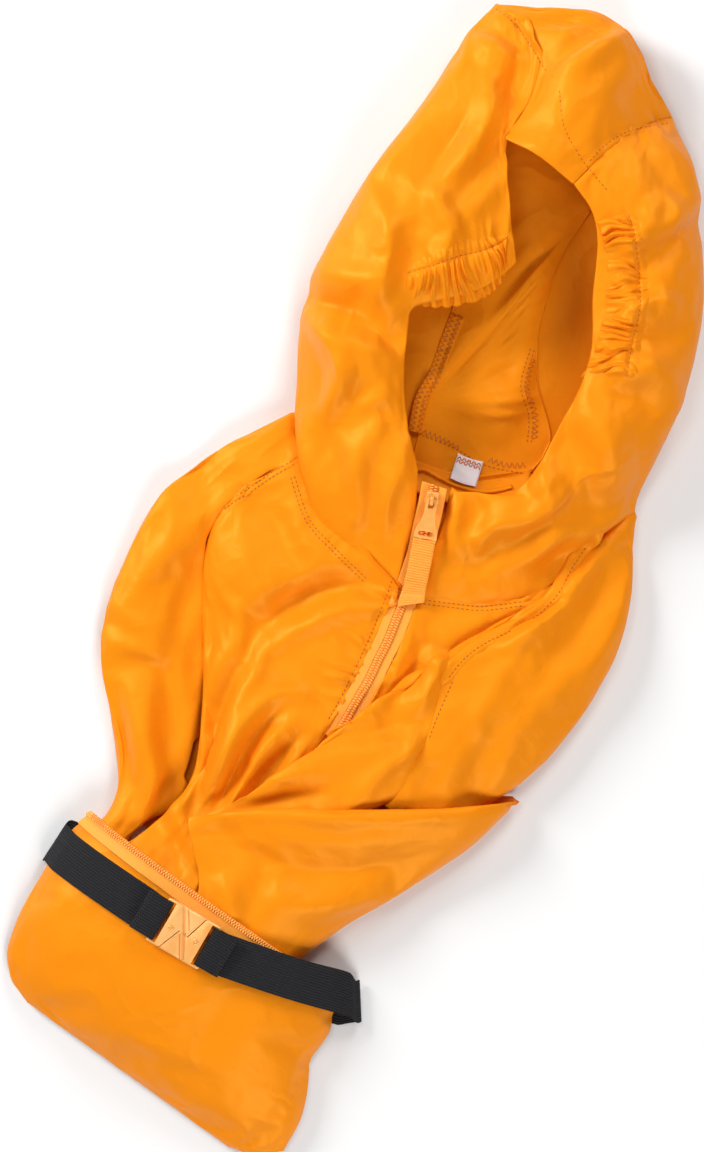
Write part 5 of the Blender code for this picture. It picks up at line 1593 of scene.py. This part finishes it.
# A row of stitches: a curve, the pieces under it, how far to its left it runs, the stitch's length
# and the gap after it, and how far each stitch slants, in turn, from the curve.
Row = namedtuple("Row", "curve under beside length gap slants", defaults=((0,), 1.7, 0.9, (0,)))


def stitch_places(row):
    trees = [tree_of(piece) for piece in row.under]
    count = max(int(lengths_along(smooth_curve(row.curve))[-1] / (row.length + row.gap)), 2)
    spots = spaced(row.curve, count)
    run = np.gradient(spots, axis=0)
    run /= np.linalg.norm(run, axis=1)[:, None]
    places = []
    for beside in row.beside:
        for number, (spot, ahead) in enumerate(zip(spots, run)):
            side = np.array((-ahead[1], ahead[0]))
            slant = radians(row.slants[number % len(row.slants)])
            way = ahead * cos(slant) + side * sin(slant)
            start, end = (spot + side * beside + way * half * row.length for half in (-0.5, 0.5))
            ends = [top_at(trees, *start), top_at(trees, *end)]
            # Off the cloth, or where it steps, there is no stitch. Over a crest it lies higher.
            if None in ends or abs(ends[0] - ends[1]) > row.length * 1.5:
                continue
            along = np.array((*(end - start), ends[1] - ends[0]))
            along /= np.linalg.norm(along)
            over = np.array((-along[1], along[0], 0.0))
            over /= np.linalg.norm(over)
            middle = (start + end) / 2
            crown = top_at(trees, *middle) or 0.0
            middle = np.array((*middle, max(sum(ends) / 2, min(crown, max(ends) + 0.6)) + 0.16))
            places.append((middle, along, over, np.cross(along, over)))
    return places


def thread(name, colour):
    """Twisted polyester thread: a soft shine, and its twist as fine slanting bands."""
    material = new_material(name)
    twist = texture(material, "Wave", {"Scale": 900.0}, bands_direction="DIAGONAL")
    colour_by(material, twist, [c * 0.7 for c in colour], colour)
    fill_shader(material, {"Roughness": 0.5})
    return material


def sew_rows(name, rows, thickness, material):
    places = [place for row in rows for place in stitch_places(row)]
    pattern = bead(rows[0].length, thickness, thickness * 0.7, 6, 4)
    dress(repeat(name, pattern, places), material)


# This thread is the cloth's orange, coloured darker than the cloth it sews: painted shade along the
# seams.
orange_thread_painted_shade = thread("orange_thread_painted_shade", (0.52, 0.11, 0.003))
seam_thread = thread("seam_thread", (0.72, 0.18, 0.004))
label_thread = thread("label_thread", (0.85, 0.19, 0.005))
black_thread = thread("black_thread", (0.012, 0.012, 0.014))
hood = (hood_side_left, hood_side_right, hood_centre)
fronts = (front_left, front_right)
sew_rows("topstitching", (
    Row(BRIM, hood), Row(GUSSET_RIGHT, hood, (1.6,)), Row(GUSSET_LEFT, hood, (-1.8,)),
    Row(RAGLAN_LEFT, fronts, (1.2, 3.6)), Row(NECK_LEFT, fronts, (0, -2.4)),
    Row(NECK_RIGHT, fronts, (0, -2.4)),
    Row(((60, -52), (58, -70), (57, -86)), (*fronts, sleeve_right)),
    Row(ZIP_SEAM_LEFT, fronts),
    Row(RAGLAN_RIGHT[1:-1], (raglan_seam_right,), (1.4,)),
    Row(((46, 152), (47, 130), (57, 115), (61, 100)), (hood_centre,), (-1.2, 1.2)),
    Row(((-6, 84), (20, 82), (40, 78), (62, 80)), (neck_facing, hood_centre)),
), 0.55, orange_thread_painted_shade)
sew_rows("hood_overlocking", tuple(Row(*row, (66, -66)) for row in (
    (OVERLOCKED, (hood_centre, overlocked_strip), (-2.2, 2.2), 4.2, -2.7),
    (((46, 150), (47, 130), (57, 115), (61, 102)), (hood_centre,), (2.6,), 4.2, -2.7),
    (((-4, 87), (10, 86), (22, 84)), (hood_centre,), (-1.0,), 3.6, -2.2),
    (((42, 83), (52, 83), (62, 86)), (hood_centre,), (-1.0,), 3.6, -2.2),
)), 0.5, seam_thread)
sew_rows("casing_stitches", tuple(
    Row(
        spaced(casing.fade, 12) * (1 - casing.stitched) + spaced(casing.rim, 12) * casing.stitched,
        (bpy.data.objects[casing.node + "_ruffles"],), (0,), 1.9, 0.8,
    ) for casing in CASINGS
), 0.42, orange_thread_painted_shade)
sew_rows("label_zigzag", (
    Row(((23.5, 76.3), (31, 76.3), (38.7, 76.4)), (size_label,), (-1.1, 0.9), 2.6, -1.3, (60, -60)),
), 0.8, label_thread)
sew_rows("belt_stitches", tuple(
    Row(
        [in_buckle(side * (BAR + 12.4), across, 0)[:2] for across in (-11.5, 0, 11.5)],
        (belt,), (-0.6, 0.6), 1.5, 0.5,
    ) for side in (-1, 1)
), 0.5, black_thread)
